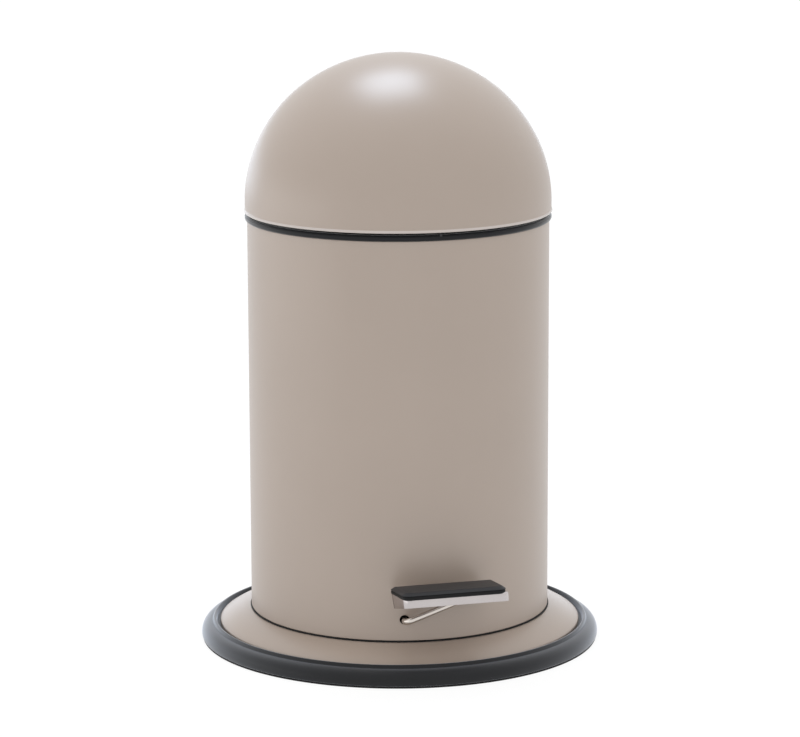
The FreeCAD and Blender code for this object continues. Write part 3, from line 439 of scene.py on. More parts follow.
def smooth(piece, outward=True):
    """Point the faces outwards and shade them smooth between sharp edges."""
    mesh = bmesh.new()
    mesh.from_mesh(piece.data)
    if outward:
        bmesh.ops.recalc_face_normals(mesh, faces=mesh.faces)
    for face in mesh.faces:
        face.smooth = True
    mesh.to_mesh(piece.data)
    mesh.free()
    piece.data.set_sharp_from_angle(angle=SHARP_ANGLE)


def turned(name, outline, finish, closed=True, steps=TURN_STEPS):
    """A shell turned about the bin's axis from its outline of radii and heights."""
    sweep = BODY_RADIUS
    points = [(radius - sweep, -height, 0.0) for radius, height in outline]
    edges = [(i, i + 1) for i in range(len(points) - 1)]
    if closed:
        edges.append((len(points) - 1, 0))
    piece = new_piece(name, points, edges)
    run_tree(piece, TURNED, {
        "Steps round": steps,
        "Sweep radius": sweep * MM,
        "Weld gap": WELD_GAP * MM,
        "Material": finish,
    })
    smooth(piece)
    return piece


def wire(name, path, bends, radius, finish):
    """A bent round wire along a path of corners."""
    piece = new_piece(name, path, [(i, i + 1) for i in range(len(path) - 1)])
    bend = piece.data.attributes.new("bend", "FLOAT", "POINT")
    bend.data.foreach_set("value", [value * MM for value in (0.0, *bends, 0.0)])
    run_tree(piece, WIRE, {
        "Wire radius": radius * MM,
        "Steps round": 28,
        "Bend steps": 24,
        "Material": finish,
    })
    smooth(piece)
    return piece


def cut(piece, other, operation="DIFFERENCE"):
    """Take the other shape out of the piece, or join it on."""
    modifier = piece.modifiers.new("cut", "BOOLEAN")
    modifier.operation = operation
    modifier.solver = "EXACT"
    modifier.object = other
    keep_result(piece)
    bpy.data.objects.remove(other)
    smooth(piece, outward=False)


def stacked(name, loops, finish):
    """A closed shape through loops of equally many points, with flat ends."""
    count = len(loops[0])
    points = [point for loop in loops for point in loop]
    faces = [tuple(range(count)), tuple(range(len(points) - count, len(points)))]
    for row in range(len(loops) - 1):
        for i in range(count):
            near, far = row * count + i, row * count + (i + 1) % count
            faces.append((near, far, far + count, near + count))
    piece = new_piece(name, points, (), faces)
    piece.data.materials.append(finish)
    smooth(piece)
    return piece


def screw_model(head, rise, shank, length, finish):
    """One cross-recessed pan-head screw, upright on its seat."""
    crown = rise * SCREW_CROWN
    outline = [(0.0, -length), (shank * SCREW_TIP, -length), (shank, -length + shank)]
    outline += [(shank, 0.0), (head, 0.0)]
    outline += arc((head - crown, rise - crown), crown, 0, 80, 6)
    outline.append((0.0, rise))
    screw = turned("screw_model", outline, finish, closed=False, steps=40)
    arm, slot_half, depth = head * CROSS_REACH, head * CROSS_HALF, rise * CROSS_FLOOR
    for x, y in ((arm, slot_half), (slot_half, arm)):
        cut(screw, block("recess", (-x, -y, depth), (x, y, rise + 1)))
    return screw


def fasteners(name, model, spots, facing):
    """The same fastener set on each spot, facing the way given for it."""
    piece = new_piece(name, spots)
    way = piece.data.attributes.new("facing", "FLOAT_VECTOR", "POINT")
    way.data.foreach_set("vector", [value for direction in facing for value in direction])
    finish = model.data.materials[0]
    run_tree(piece, FASTENERS, {"Fastener": model, "Material": finish})
    bpy.data.objects.remove(model)
    smooth(piece, outward=False)
    return piece


def block(name, low, high):
    """A plain box to cut with."""
    xs, ys, zs = zip(low, high)
    points = [(x, y, z) for x in xs for y in ys for z in zs]
    faces = [(0, 1, 3, 2), (4, 6, 7, 5), (0, 4, 5, 1), (2, 3, 7, 6), (0, 2, 6, 4), (1, 5, 7, 3)]
    return new_piece(name, points, (), faces)


def drum(name, start, end, radius, steps=48):
    """A plain drum between two points to cut with."""
    mesh = bmesh.new()
    start, end = Vector(start) * MM, Vector(end) * MM
    along = end - start
    turn = along.to_track_quat("Z", "Y").to_matrix().to_4x4()
    place = Matrix.Translation((start + end) / 2) @ turn
    bmesh.ops.create_cone(mesh, cap_ends=True, segments=steps, radius1=radius * MM,
                          radius2=radius * MM, depth=along.length, matrix=place)
    piece = new_piece(name, [])
    mesh.to_mesh(piece.data)
    mesh.free()
    return piece


def place_piece(piece, body, slot, *nodes):
    """Let the piece ride on a body, in place of the nodes that it stands for."""
    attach(piece, body)
    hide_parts(*nodes)


# Finishes

def group_sockets(group, inputs, outputs):
    """Give a group its named sockets, and return its input and output nodes."""
    for label, kind in inputs.items():
        group.interface.new_socket(label, in_out="INPUT", socket_type=kind)
    for label, kind in outputs.items():
        group.interface.new_socket(label, in_out="OUTPUT", socket_type=kind)
    return group.nodes.new("NodeGroupInput"), group.nodes.new("NodeGroupOutput")


def fine_grain_group():
    """Fine grain for bumps and slow clouds for tone, both from 0 to 1."""
    group = bpy.data.node_groups.new("fine_grain", "ShaderNodeTree")
    group_in, group_out = group_sockets(
        group,
        {
            "Place": "NodeSocketVector",
            "Grain scale": "NodeSocketFloat",
            "Cloud scale": "NodeSocketFloat",
        },
        {"Grain": "NodeSocketFloat", "Cloud": "NodeSocketFloat"},
    )
    for label, scale in (("Grain", "Grain scale"), ("Cloud", "Cloud scale")):
        noise = group.nodes.new("ShaderNodeTexNoise")
        noise.inputs["Detail"].default_value = 3.0
        noise.inputs["Roughness"].default_value = 0.55
        group.links.new(group_in.outputs["Place"], noise.inputs["Vector"])
        group.links.new(group_in.outputs[scale], noise.inputs["Scale"])
        group.links.new(noise.outputs["Fac"], group_out.inputs[label])
    return group


def drawn_lines_group():
    """Fine lines stretched along one direction, from 0 to 1."""
    group = bpy.data.node_groups.new("drawn_lines", "ShaderNodeTree")
    group_in, group_out = group_sockets(
        group,
        {"Place": "NodeSocketVector", "Line scale": "NodeSocketVector"},
        {"Lines": "NodeSocketFloat"},
    )
    stretch = group.nodes.new("ShaderNodeVectorMath")
    stretch.operation = "MULTIPLY"
    noise = group.nodes.new("ShaderNodeTexNoise")
    noise.inputs["Scale"].default_value = 1.0
    noise.inputs["Detail"].default_value = 2.0
    group.links.new(group_in.outputs["Place"], stretch.inputs[0])
    group.links.new(group_in.outputs["Line scale"], stretch.inputs[1])
    group.links.new(stretch.outputs["Vector"], noise.inputs["Vector"])
    group.links.new(noise.outputs["Fac"], group_out.inputs["Lines"])
    return group


def painted_rim_highlight(nodes, link, place, base, height, half, light):
    """A painted highlight: the paint turns lighter in a band at one height, along a rolled edge
    that catches the light.
    """
    axes = nodes.new("ShaderNodeSeparateXYZ")
    band = nodes.new("ShaderNodeMath")
    band.operation = "COMPARE"
    band.inputs[1].default_value = height * MM
    band.inputs[2].default_value = half * MM
    highlight_mix = nodes.new("ShaderNodeMix")
    highlight_mix.data_type = "RGBA"
    highlight_mix.inputs["B"].default_value = (*light, 1.0)
    link(place, axes.inputs["Vector"])
    link(axes.outputs["Z"], band.inputs[0])
    link(band.outputs["Value"], highlight_mix.inputs["Factor"])
    link(base, highlight_mix.inputs["A"])
    return highlight_mix.outputs["Result"]


def new_finish(name, dark, light, rough, grain_scale, cloud_scale, bump,
               lines=None, rim=None, **plain):
    """A surface whose tone and roughness drift in clouds over a fine bumped grain."""
    finish = bpy.data.materials.new(name)
    finish.use_nodes = True
    nodes, link = finish.node_tree.nodes, finish.node_tree.links.new
    shader = nodes["Principled BSDF"]
    for label, value in plain.items():
        shader.inputs[label.replace("_", " ")].default_value = value
    place = nodes.new("ShaderNodeTexCoord")
    grain = nodes.new("ShaderNodeGroup")
    grain.node_tree = FINE_GRAIN
    grain.inputs["Grain scale"].default_value = grain_scale
    grain.inputs["Cloud scale"].default_value = cloud_scale
    link(place.outputs["Object"], grain.inputs["Place"])
    cloud, height = grain.outputs["Cloud"], grain.outputs["Grain"]
    tone = nodes.new("ShaderNodeMix")
    tone.data_type = "RGBA"
    tone.inputs["A"].default_value = (*dark, 1.0)
    tone.inputs["B"].default_value = (*light, 1.0)
    link(cloud, tone.inputs["Factor"])
    base = tone.outputs["Result"]
    # The rim entry paints a highlight into the colour: a lighter band along a rolled edge.
    if rim:
        base = painted_rim_highlight(nodes, link, place.outputs["Object"], base, *rim)
    link(base, shader.inputs["Base Color"])
    if lines:
        drawn = nodes.new("ShaderNodeGroup")
        drawn.node_tree = DRAWN_LINES
        drawn.inputs["Line scale"].default_value = lines
        link(place.outputs["Object"], drawn.inputs["Place"])
        cloud, height = drawn.outputs["Lines"], drawn.outputs["Lines"]
    spread = nodes.new("ShaderNodeMapRange")
    spread.inputs["To Min"].default_value = rough[0]
    spread.inputs["To Max"].default_value = rough[1]
    link(cloud, spread.inputs["Value"])
    link(spread.outputs["Result"], shader.inputs["Roughness"])
    relief = nodes.new("ShaderNodeBump")
    relief.inputs["Strength"].default_value = bump[0]
    relief.inputs["Distance"].default_value = bump[1] * MM
    link(height, relief.inputs["Height"])
    link(relief.outputs["Normal"], shader.inputs["Normal"])
    return finish


# Studio

def studio_camera():
    """The photograph's camera: in front, a little to the left and above, with a long lens."""
    level = Vector((math.sin(CAMERA_TURN), math.cos(CAMERA_TURN), 0.0))
    ahead = level * math.cos(CAMERA_DROP) - Vector((0.0, 0.0, math.sin(CAMERA_DROP)))
    right = Vector((math.cos(CAMERA_TURN), -math.sin(CAMERA_TURN), 0.0))
    up = right.cross(ahead)
    across = right * math.cos(CAMERA_ROLL) + up * math.sin(CAMERA_ROLL)
    upright = up * math.cos(CAMERA_ROLL) - right * math.sin(CAMERA_ROLL)
    lens = bpy.data.cameras.new("photo_camera")
    lens.sensor_width = CAMERA_SENSOR
    lens.lens = CAMERA_LENS
    camera = bpy.data.objects.new("photo_camera", lens)
    axes = Matrix((across, upright, -ahead)).transposed().to_4x4()
    camera.matrix_world = Matrix.Translation(Vector(CAMERA_SPOT) * MM) @ axes
    bpy.context.scene.collection.objects.link(camera)
    bpy.context.scene.camera = camera


def softbox(name, spot, target, width, height, power, tint=(1.0, 1.0, 1.0)):
    """A soft rectangular lamp that faces a target, all in metres and watts."""
    lamp = bpy.data.lights.new(name, "AREA")
    lamp.shape = "RECTANGLE"
    lamp.size, lamp.size_y = width, height
    lamp.energy = power
    lamp.color = tint
    box = bpy.data.objects.new(name, lamp)
    aim = (Vector(target) - Vector(spot)).to_track_quat("-Z", "Y")
    box.matrix_world = Matrix.Translation(spot) @ aim.to_matrix().to_4x4()
    bpy.context.scene.collection.objects.link(box)


def seen_directly(nodes, link):
    """1 on camera, mirror and glass rays, 0 on the rays that light the object."""
    path = nodes.new("ShaderNodeLightPath")
    either = nodes.new("ShaderNodeMath")
    either.operation = "MAXIMUM"
    total = nodes.new("ShaderNodeMath")
    total.operation = "MAXIMUM"
    link(path.outputs["Is Camera Ray"], either.inputs[0])
    link(path.outputs["Is Glossy Ray"], either.inputs[1])
    link(either.outputs["Value"], total.inputs[0])
    link(path.outputs["Is Transmission Ray"], total.inputs[1])
    return total.outputs["Value"]


def studio_world():
    """An even white room that shows as white and lights the object at a plain level."""
    world = bpy.data.worlds.new("studio_room")
    world.use_nodes = True
    room = world.node_tree.nodes["Background"]
    room.inputs["Color"].default_value = (1.0, 1.0, 1.0, 1.0)
    room.inputs["Strength"].default_value = 1.0
    bpy.context.scene.world = world


def studio_floor():
    """A pale floor that reads white and keeps a faint shadow under the bin."""
    half, z = FLOOR_HALF, -FLOOR_DROP
    corners = [(-half, -half, z), (half, -half, z), (half, half, z), (-half, half, z)]
    floor = new_piece("studio_floor", corners, (), [(0, 1, 2, 3)])
    paper = bpy.data.materials.new("studio_paper")
    paper.use_nodes = True
    nodes, link = paper.node_tree.nodes, paper.node_tree.links.new
    nodes.remove(nodes["Principled BSDF"])
    direct = seen_directly(nodes, link)
    matt = nodes.new("ShaderNodeBsdfDiffuse")
    glow = nodes.new("ShaderNodeEmission")
    levels = (
        (FLOOR_BOUNCE, FLOOR_SHADE, matt.inputs["Color"]),
        (0.0, FLOOR_WHITE, glow.inputs["Strength"]),
    )
    for lighting, seen, socket in levels:
        level = nodes.new("ShaderNodeMapRange")
        level.inputs["To Min"].default_value = lighting
        level.inputs["To Max"].default_value = seen
        link(direct, level.inputs["Value"])
        link(level.outputs["Result"], socket)
    both = nodes.new("ShaderNodeAddShader")
    link(matt.outputs["BSDF"], both.inputs[0])
    link(glow.outputs["Emission"], both.inputs[1])
    link(both.outputs["Shader"], nodes["Material Output"].inputs["Surface"])
    floor.data.materials.append(paper)


# The bin's pieces

def dome_lid():
    """Pressed dome with a rolled bead along its rim, notched behind for the hinge."""
    excess = LID_RADIUS ** 2 + LID_RISE ** 2 - 2 * LID_RISE * LID_CROWN
    side = excess / (2 * (LID_RADIUS - LID_CROWN))
    side_x = LID_RADIUS - side
    top_z = LID_SPRING + LID_RISE - LID_CROWN
    join = math.degrees(math.atan2(LID_SPRING - top_z, side_x))
    bead_x = LID_RADIUS - LID_BEAD + LID_BEAD_OUT
    bead_top = LID_BEAD_Z + LID_BEAD
    outline = arc((0, top_z), LID_CROWN - LID_WALL, 90, join, 24)
    outline += arc((side_x, LID_SPRING), side - LID_WALL, join, 0, 24)[1:]
    outline.append((LID_RADIUS - LID_WALL, bead_top + LID_NECK))
    outline += arc((bead_x, LID_BEAD_Z), LID_BEAD, 150, 405, 14)
    outline += [(LID_RADIUS, bead_top + LID_NECK_HOLD), (LID_RADIUS, bead_top + LID_NECK)]
    outline += arc((side_x, LID_SPRING), side, 0, join, 40)
    outline += arc((0, top_z), LID_CROWN, join, 90, 40)[1:]
    lid = turned("dome_lid", outline, SATIN_PAINT, closed=False)
    half = KNUCKLE_HALF + NOTCH_GAP
    low = (-half, 0, LID_EDGE - 1)
    high = (half, LID_RADIUS + CUT_PAST, HINGE_Z + KNUCKLE_RADIUS + NOTCH_GAP)
    cut(lid, block("hinge_notch", low, high))
    place_piece(lid, "lid", "painted_steel", "lid_dome")


def shaft_line():
    """The direction of the pedal's shaft, and its middle on the bin's axis."""
    return Vector((math.sin(SHAFT_TURN), math.cos(SHAFT_TURN), 0)), Vector((0, 0, SHAFT_Z))


def body_tube():
    """Painted steel tube with the hole that the pedal's wire comes out of."""
    outside, inside = BODY_RADIUS, BODY_RADIUS - BODY_WALL
    rows = [SHAFT_Z + step for step in range(-HOLE_ROWS, HOLE_ROWS + 1)]
    corners = [(inside, BODY_FOOT, 0), (outside, BODY_FOOT, BODY_EDGE),
               (outside, BODY_TOP, BODY_EDGE), (inside, BODY_TOP, 0)]
    outline = softened(corners, steps=3)
    climb = next(i for i, (radius, z) in enumerate(outline)
                 if z > BODY_FOOT + 1 and radius > inside)
    outline[climb:climb] = [(outside, z) for z in rows]
    outline += [(inside, z) for z in reversed(rows)]
    tube = turned("body_tube", outline, SATIN_PAINT)
    along, middle = shaft_line()
    start, end = (middle - along * reach for reach in (inside - CUT_PAST, outside + CUT_PAST))
    cut(tube, drum("wire_hole", start, end, HOLE_RADIUS))
    place_piece(tube, "housing", "painted_steel", "body_shell")


def foot_skirt():
    """Pressed foot with a flat top, a convex flare and a rolled edge."""
    roll_x = SKIRT_RADIUS - SKIRT_ROLL
    roll_z = SKIRT_RIM - SKIRT_ROLL
    fall = math.radians(SKIRT_FALL)
    inner_roll = SKIRT_ROLL - SKIRT_GAUGE
    under = SKIRT_CROWN - SKIRT_GAUGE
    inside = SKIRT_RADIUS - SKIRT_GAUGE
    flare_end = (roll_x + SKIRT_ROLL * math.sin(fall), roll_z + SKIRT_ROLL * math.cos(fall))
    under_start = (SKIRT_SHOULDER - SKIRT_GAUGE, under)
    under_end = (roll_x + inner_roll * math.sin(fall), roll_z + inner_roll * math.cos(fall))
    outline = [(SKIRT_BORE, under), (under_start[0] - HOLD, under)]
    outline += arc_between(under_start, under_end, SKIRT_GAUGE - SKIRT_SWELL, 16)
    outline += [(inside, roll_z), (inside, RING_SEAT)]
    outline += [(SKIRT_RADIUS, RING_SEAT), (SKIRT_RADIUS, roll_z - HOLD)]
    outline += arc((roll_x, roll_z), SKIRT_ROLL, 0, 90 - SKIRT_FALL, 8)
    outline += arc_between(flare_end, (SKIRT_SHOULDER, SKIRT_CROWN), SKIRT_SWELL, 24)[1:]
    outline += [(SKIRT_SHOULDER - SKIRT_SHOULDER_HOLD, SKIRT_CROWN), (SKIRT_BORE, SKIRT_CROWN)]
    skirt = turned("foot_skirt", outline, SATIN_PAINT)
    place_piece(skirt, "housing", "painted_steel", "base_skirt")


def rubber_ring():
    """Rubber floor ring: round side, flat shoulder, upright lip along the skirt's edge."""
    foot_end = (RING_RADIUS, SOLE_TOP + RING_FOOT_RISE)
    outline = [(RING_BORE, SOLE_TOP), (RING_FOOT - HOLD, SOLE_TOP)]
    outline += arc_between((RING_FOOT, SOLE_TOP), foot_end, RING_FOOT_ROUND, 6)
    outline += arc_between(foot_end, RING_SIDE_TOP, RING_SIDE_ROUND, 16)[1:]
    outline += RING_SHOULDER
    outline += arc_between(*RING_HOLLOW, -RING_HOLLOW_ROUND, 5)
    outline.append(RING_LIP_SIDE)
    outline += arc_between(*RING_LIP_TOP, RING_LIP_ROUND, 10)
    outline += RING_LIP_BACK
    outline += arc(RING_GROOVE, RING_GROOVE_ROUND, 0, -90, 6)
    outline += RING_LEDGE + [(RING_BORE, RING_SEAT)]
    ring = turned("rubber_ring", outline, RING_RUBBER)
    place_piece(ring, "housing", "rubber_ring", "floor_ring")


def ring_sole():
    """Thin grooved black sole under the floor ring."""
    bore, top = RING_BORE + SOLE_INSET, SOLE_TOP - SOLE_GAP
    outline = [(bore, 0.0)]
    for groove in SOLE_GROOVES:
        end = groove + GROOVE_WIDTH
        outline += [(groove, 0.0), (groove + GROOVE_SLOPE, GROOVE_DEPTH)]
        outline += [(end - GROOVE_SLOPE, GROOVE_DEPTH), (end, 0.0)]
    outline += SOLE_EDGE + [(SOLE_EDGE[-1][0], top), (bore, top)]
    sole = turned("ring_sole", outline, BLACK_PLASTIC)
    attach(sole, "housing")


def foot_gasket():
    """Thin black gasket that shows as a line between the tube and its foot."""
    corners = [(GASKET_BORE, GASKET_FOOT, 0), (GASKET_RADIUS, GASKET_FOOT, GASKET_EDGE),
               (GASKET_RADIUS, GASKET_TOP, GASKET_EDGE), (GASKET_BORE, GASKET_TOP, 0)]
    gasket = turned("foot_gasket", softened(corners, steps=4, hold=0.1), BLACK_PLASTIC)
    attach(gasket, "housing")


def pedal_frame(shift=(0.0, 0.0, 0.0)):
    """The pedal's own axes: top of the plate, at the back edge."""
    back_edge = Matrix.Translation(Vector((0, -PEDAL_BACK, PEDAL_Z)) * MM)
    tilt = Matrix.Rotation(PEDAL_TILT, 4, "X")
    return back_edge @ tilt @ Matrix.Translation(Vector(shift) * MM)


def on_pedal(x, y, z):
    """A point of the pedal's own axes, in the bin's axes."""
    return (pedal_frame() @ (Vector((x, y, z)) * MM)) / MM


def pedal_wire():
    """One bent wire: crank under the lift rod, shaft across the base, arm under the pedal."""
    along, middle = shaft_line()
    left = Vector((-along.y, along.x, 0))
    rear = middle + along * SHAFT_REAR
    front = middle - along * (BODY_RADIUS + SHAFT_OUT)
    crank = left * math.cos(CRANK_DROP) - Vector((0, 0, math.sin(CRANK_DROP)))
    depth = PEDAL_GAUGE + WIRE_GAP + WIRE_RADIUS
    arm = [on_pedal(x, -ARM_FORWARD, -depth) for x in ARM_SPAN]
    path = [rear + crank * CRANK_LENGTH, rear, front, *arm]
    piece = wire("pedal_arm_wire", path, WIRE_BENDS, WIRE_RADIUS, BRIGHT_WIRE)
    place_piece(piece, "pedal", "bright_wire", "pedal_wire")


def pedal_tray():
    """Pressed steel pedal: top, front and tapering sides with soft corners, open behind."""
    half, length, corner = PEDAL_HALF, PEDAL_LENGTH, PEDAL_CORNER
    left = [(-half, 0.0)] + [(-half, -(length - corner) * i / 6) for i in range(1, 6)]
    left += arc((-half + corner, -length + corner), corner, 180, 270, 12)
    front = [(x, -length) for x in (-half / 2, 0.0, half / 2)]
    plan = left + front + [(-x, y) for x, y in reversed(left)]
    rows = []
    for turn in range(0, 91, 15):
        inset = PEDAL_FOLD * (1 - math.sin(math.radians(turn)))
        drop = PEDAL_FOLD * (1 - math.cos(math.radians(turn)))
        scale_x, scale_y = (half - inset) / half, (length - inset) / length
        rows.append([(x * scale_x, y * scale_y, -drop) for x, y in plan])
    foot = []
    for x, y in plan:
        depth = PEDAL_BACK_DEPTH + (PEDAL_FRONT_DEPTH - PEDAL_BACK_DEPTH) * -y / length
        foot.append((x, -PEDAL_BACK_RAKE + y * (length - PEDAL_BACK_RAKE) / length, -depth))
    rows.append(foot)
    count = len(plan)
    points = [point for row in rows for point in row]
    faces = [tuple(range(count))]
    for start in range(0, (len(rows) - 1) * count, count):
        faces += [(i, i + count, i + count + 1, i + 1) for i in range(start, start + count - 1)]
    tray = new_piece("pedal_tray", points, (), faces)
    mesh = bmesh.new()
    mesh.from_mesh(tray.data)
    bmesh.ops.recalc_face_normals(mesh, faces=mesh.faces)
    mesh.faces.ensure_lookup_table()
    if mesh.faces[0].normal.z < 0:
        bmesh.ops.reverse_faces(mesh, faces=mesh.faces)
    mesh.to_mesh(tray.data)
    mesh.free()
    sheet = tray.modifiers.new("sheet", "SOLIDIFY")
    sheet.thickness = PEDAL_GAUGE * MM
    sheet.offset = -1.0
    sheet.use_even_offset = True
    edge = tray.modifiers.new("broken_edge", "BEVEL")
    edge.width = PEDAL_EDGE * MM
    edge.segments = 2
    edge.limit_method = "ANGLE"
    edge.angle_limit = math.radians(60)
    keep_result(tray)
    tray.data.transform(pedal_frame(PEDAL_SHIFT))
    tray.data.materials.append(POLISHED_STEEL)
    smooth(tray)
    place_piece(tray, "pedal", "polished_steel", "pedal_plate")


def pedal_layer(name, rows, half, reach, shift, finish):
    """A layer on the pedal, from rows of insets and heights."""
    loops = []
    for inset, z in rows:
        front_round = PAD_CORNER - inset * PAD_CORNER_LOSS
        back_round = max(PAD_BACK_CORNER - inset * PAD_BACK_LOSS, PAD_LEAST_CORNER)
        side, back, front = half - inset, -PAD_EDGE - inset, -reach + inset
        corners = [(-side, back, back_round), (side, back, back_round),
                   (side, front, front_round), (-side, front, front_round)]
        loops.append([(x, y, z) for x, y in softened(corners, steps=8)])
    layer = stacked(name, loops, finish)
    layer.data.transform(pedal_frame(shift))
    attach(layer, "pedal")
    return layer


def pedal_tread():
    """Bevelled rubber tread, on a black backing that laps over the plate's edge."""
    tread = pedal_layer(
        "pedal_tread", PAD_ROWS, PAD_HALF, PAD_REACH, PAD_SHIFT, TREAD_RUBBER)
    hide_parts("pedal_pad")
    backing = pedal_layer(
        "tread_backing", BACKING_ROWS, BACKING_HALF, BACKING_REACH, BACKING_SHIFT, BLACK_PLASTIC)


def prism(name, outline, near, far, centre, shrink, finish):
    """A shape along X through an outline of depths and heights, with its end edges broken."""
    step = math.copysign(HOLD, far - near)
    ends = ((near, shrink), (near + step, 1.0), (far - step, 1.0), (far, shrink))
    mid_y, mid_z = centre
    loops = [[(x, mid_y + (y - mid_y) * scale, mid_z + (z - mid_z) * scale) for y, z in outline]
             for x, scale in ends]
    return stacked(name, loops, finish)


def arch(y, z, radius, foot):
    """The outline of an upright ear or lug with a round top."""
    return [(y - radius, foot)] + arc((y, z), radius, 180, 0, 24) + [(y + radius, foot)]


def rim_collar():
    """Moulded collar on the tube's rim, with hinge block, two ears and the rod's guide lug."""
    chamfer_in, chamfer_down = COLLAR_CHAMFER
    corners = [(COLLAR_THROAT, COLLAR_FOOT, 0.4), (COLLAR_SLIP, COLLAR_FOOT, 0.4),
               (COLLAR_SLIP, BODY_TOP, 0), (COLLAR_RADIUS, BODY_TOP, COLLAR_ROUND),
               (COLLAR_RADIUS, COLLAR_TOP - chamfer_down, 0.4),
               (COLLAR_RADIUS - chamfer_in, COLLAR_TOP, 0.3),
               (COLLAR_THROAT, COLLAR_TOP, 0.5)]
    collar = turned("rim_collar", softened(corners, steps=8, hold=0.2), COLLAR_PLASTIC)

    foot, root = BODY_TOP + BLOCK_LIFT, COLLAR_TOP - JOIN_SINK
    toe = BODY_TOP - BLOCK_DROP
    seat = softened([(BLOCK_FACE, toe, 0.3), (BLOCK_TOE, toe, 0.8), (BLOCK_BACK, BODY_TOP, 1.0),
                     (BLOCK_BACK, root, 0.6), (BLOCK_ROOT, root, 0), (BLOCK_ROOT, foot, 0),
                     (BLOCK_FACE, foot, 0)], steps=4, hold=0.2)
    hinge = (HINGE_Y, HINGE_Z)
    ear = arch(*hinge, EAR_RADIUS, foot)
    joined = [("hinge_block", seat, -BLOCK_HALF, BLOCK_HALF, BLOCK_MIDDLE)]
    for start in (-EAR_INSIDE - EAR_WIDTH, EAR_INSIDE):
        joined.append(("hinge_ear", ear, start, start + EAR_WIDTH, hinge))
    for shape in joined:
        cut(collar, prism(*shape, BLOCK_END_SHRINK, COLLAR_PLASTIC), "UNION")
    reach = BLOCK_HALF + 2
    cut(collar, drum("pin_bore", (-reach, *hinge), (reach, *hinge), PIN_BORE))

    rod = (ROD_X, ROD_Y)
    lug_foot = COLLAR_FOOT + JOIN_SINK
    cut(collar, drum("rod_lug", (*rod, lug_foot), (*rod, ROD_LUG_TOP), ROD_LUG), "UNION")
    cut(collar, drum("rod_bore", (*rod, COLLAR_FOOT - 2), (*rod, ROD_LUG_TOP + 2), ROD_BORE))
    low = (ROD_X - CAP_NOTCH_HALF, ROD_Y - CAP_NOTCH_HALF, ROD_LUG_TOP)
    high = (ROD_X + CAP_NOTCH_HALF, CAP_NOTCH_BACK, COLLAR_TOP + 1)
    cut(collar, block("cap_notch", low, high))
    place_piece(collar, "housing", "collar_plastic", "collar")


def bucket_pail():
    """Moulded pail with a rolled lip, a stiffening bead and two handle lugs."""
    top = BUCKET_RIM - BUCKET_LIP
    inside_top = top - BUCKET_WALL
    lip_foot = BUCKET_TOP - BUCKET_LIP_HEIGHT
    bend = BUCKET_FLOOR + BUCKET_ROUND
    bend_x = BUCKET_FOOT - BUCKET_ROUND
    slope = (top - BUCKET_FOOT) / (lip_foot - bend)

    def wall_at(z):
        """The outside radius at a height."""
        return BUCKET_FOOT + slope * (z - bend)

    bead_foot, bead_top = BEAD_Z - BEAD_HALF, BEAD_Z + BEAD_HALF
    outline = [(0.0, BUCKET_FLOOR), (bend_x - BUCKET_FLOOR_HOLD, BUCKET_FLOOR)]
    outline += arc((bend_x, bend), BUCKET_ROUND, 270, 360, 10)
    outline.append((wall_at(bead_foot), bead_foot))
    outline += arc((wall_at(BEAD_Z) - BEAD_SINK, BEAD_Z), BEAD_ROUND, -60, 60, 8)
    outline += [(wall_at(bead_top), bead_top), (top, lip_foot - BUCKET_LIP_HOLD)]
    lip = [(top, lip_foot, 0), (BUCKET_RIM, lip_foot, 0.6), (BUCKET_RIM, BUCKET_TOP, 0.9),
           (inside_top, BUCKET_TOP, 0.6), (inside_top, lip_foot, 0)]
    outline += softened(lip, hold=0.2)[:-1]
    outline.append((inside_top - BUCKET_LIP_HOLD * slope, lip_foot))
    outline += arc((bend_x, bend), BUCKET_ROUND - BUCKET_WALL, 360, 270, 8)
    outline.append((0.0, BUCKET_FLOOR + BUCKET_WALL))
    pail = turned("bucket_pail", outline, BUCKET_PLASTIC, closed=False)

    handle = (0, HANDLE_Z)
    lug = arch(*handle, LUG_RADIUS, lip_foot + LUG_LIFT)
    inside = LUG_OUTSIDE - LUG_WIDTH
    for side in (-1, 1):
        near, far = side * inside, side * LUG_OUTSIDE
        past = side * LUG_BORE_PAST
        ear = prism("handle_lug", lug, near, far, handle, LUG_END_SHRINK, BUCKET_PLASTIC)
        cut(pail, ear, "UNION")
        cut(pail, drum("lug_bore", (near - past, *handle), (far + past, *handle), LUG_BORE))
    place_piece(pail, "pail", "bucket_plastic", "bucket")


def bucket_bail():
    """Wire handle of the pail, folded down to the front of its rim."""
    path = [(*corner, HANDLE_Z) for corner in HANDLE_PATH]
    bail = wire("bucket_bail", path, HANDLE_BENDS, HANDLE_RADIUS, BRIGHT_WIRE)
    place_piece(bail, "bail", "bright_wire", "bucket_handle")


def base_screws():
    """Four screws up through the skirt into the base insert."""
    model = screw_model(**BASE_SCREW, finish=ZINC_STEEL)
    x, y = BASE_SCREW_SPOT
    spots = [(*spot, BASE_SCREW_SEAT) for spot in ((x, y), (-y, x), (-x, -y), (y, -x))]
    screws = fasteners("skirt_screws", model, spots, [(0, 0, -1)] * len(spots))
    place_piece(screws, "housing", "zinc_steel", "base_screws")


def clip_screws():
    """Four small screws that hold the two shaft clips down."""
    model = screw_model(**CLIP_SCREW, finish=ZINC_STEEL)
    spots = [(*spot, CLIP_SCREW_SEAT) for spot in CLIP_SCREW_SPOTS]
    screws = fasteners("shaft_clip_screws", model, spots, [(0, 0, 1)] * len(spots))
    place_piece(screws, "housing", "zinc_steel", "clip_screws")


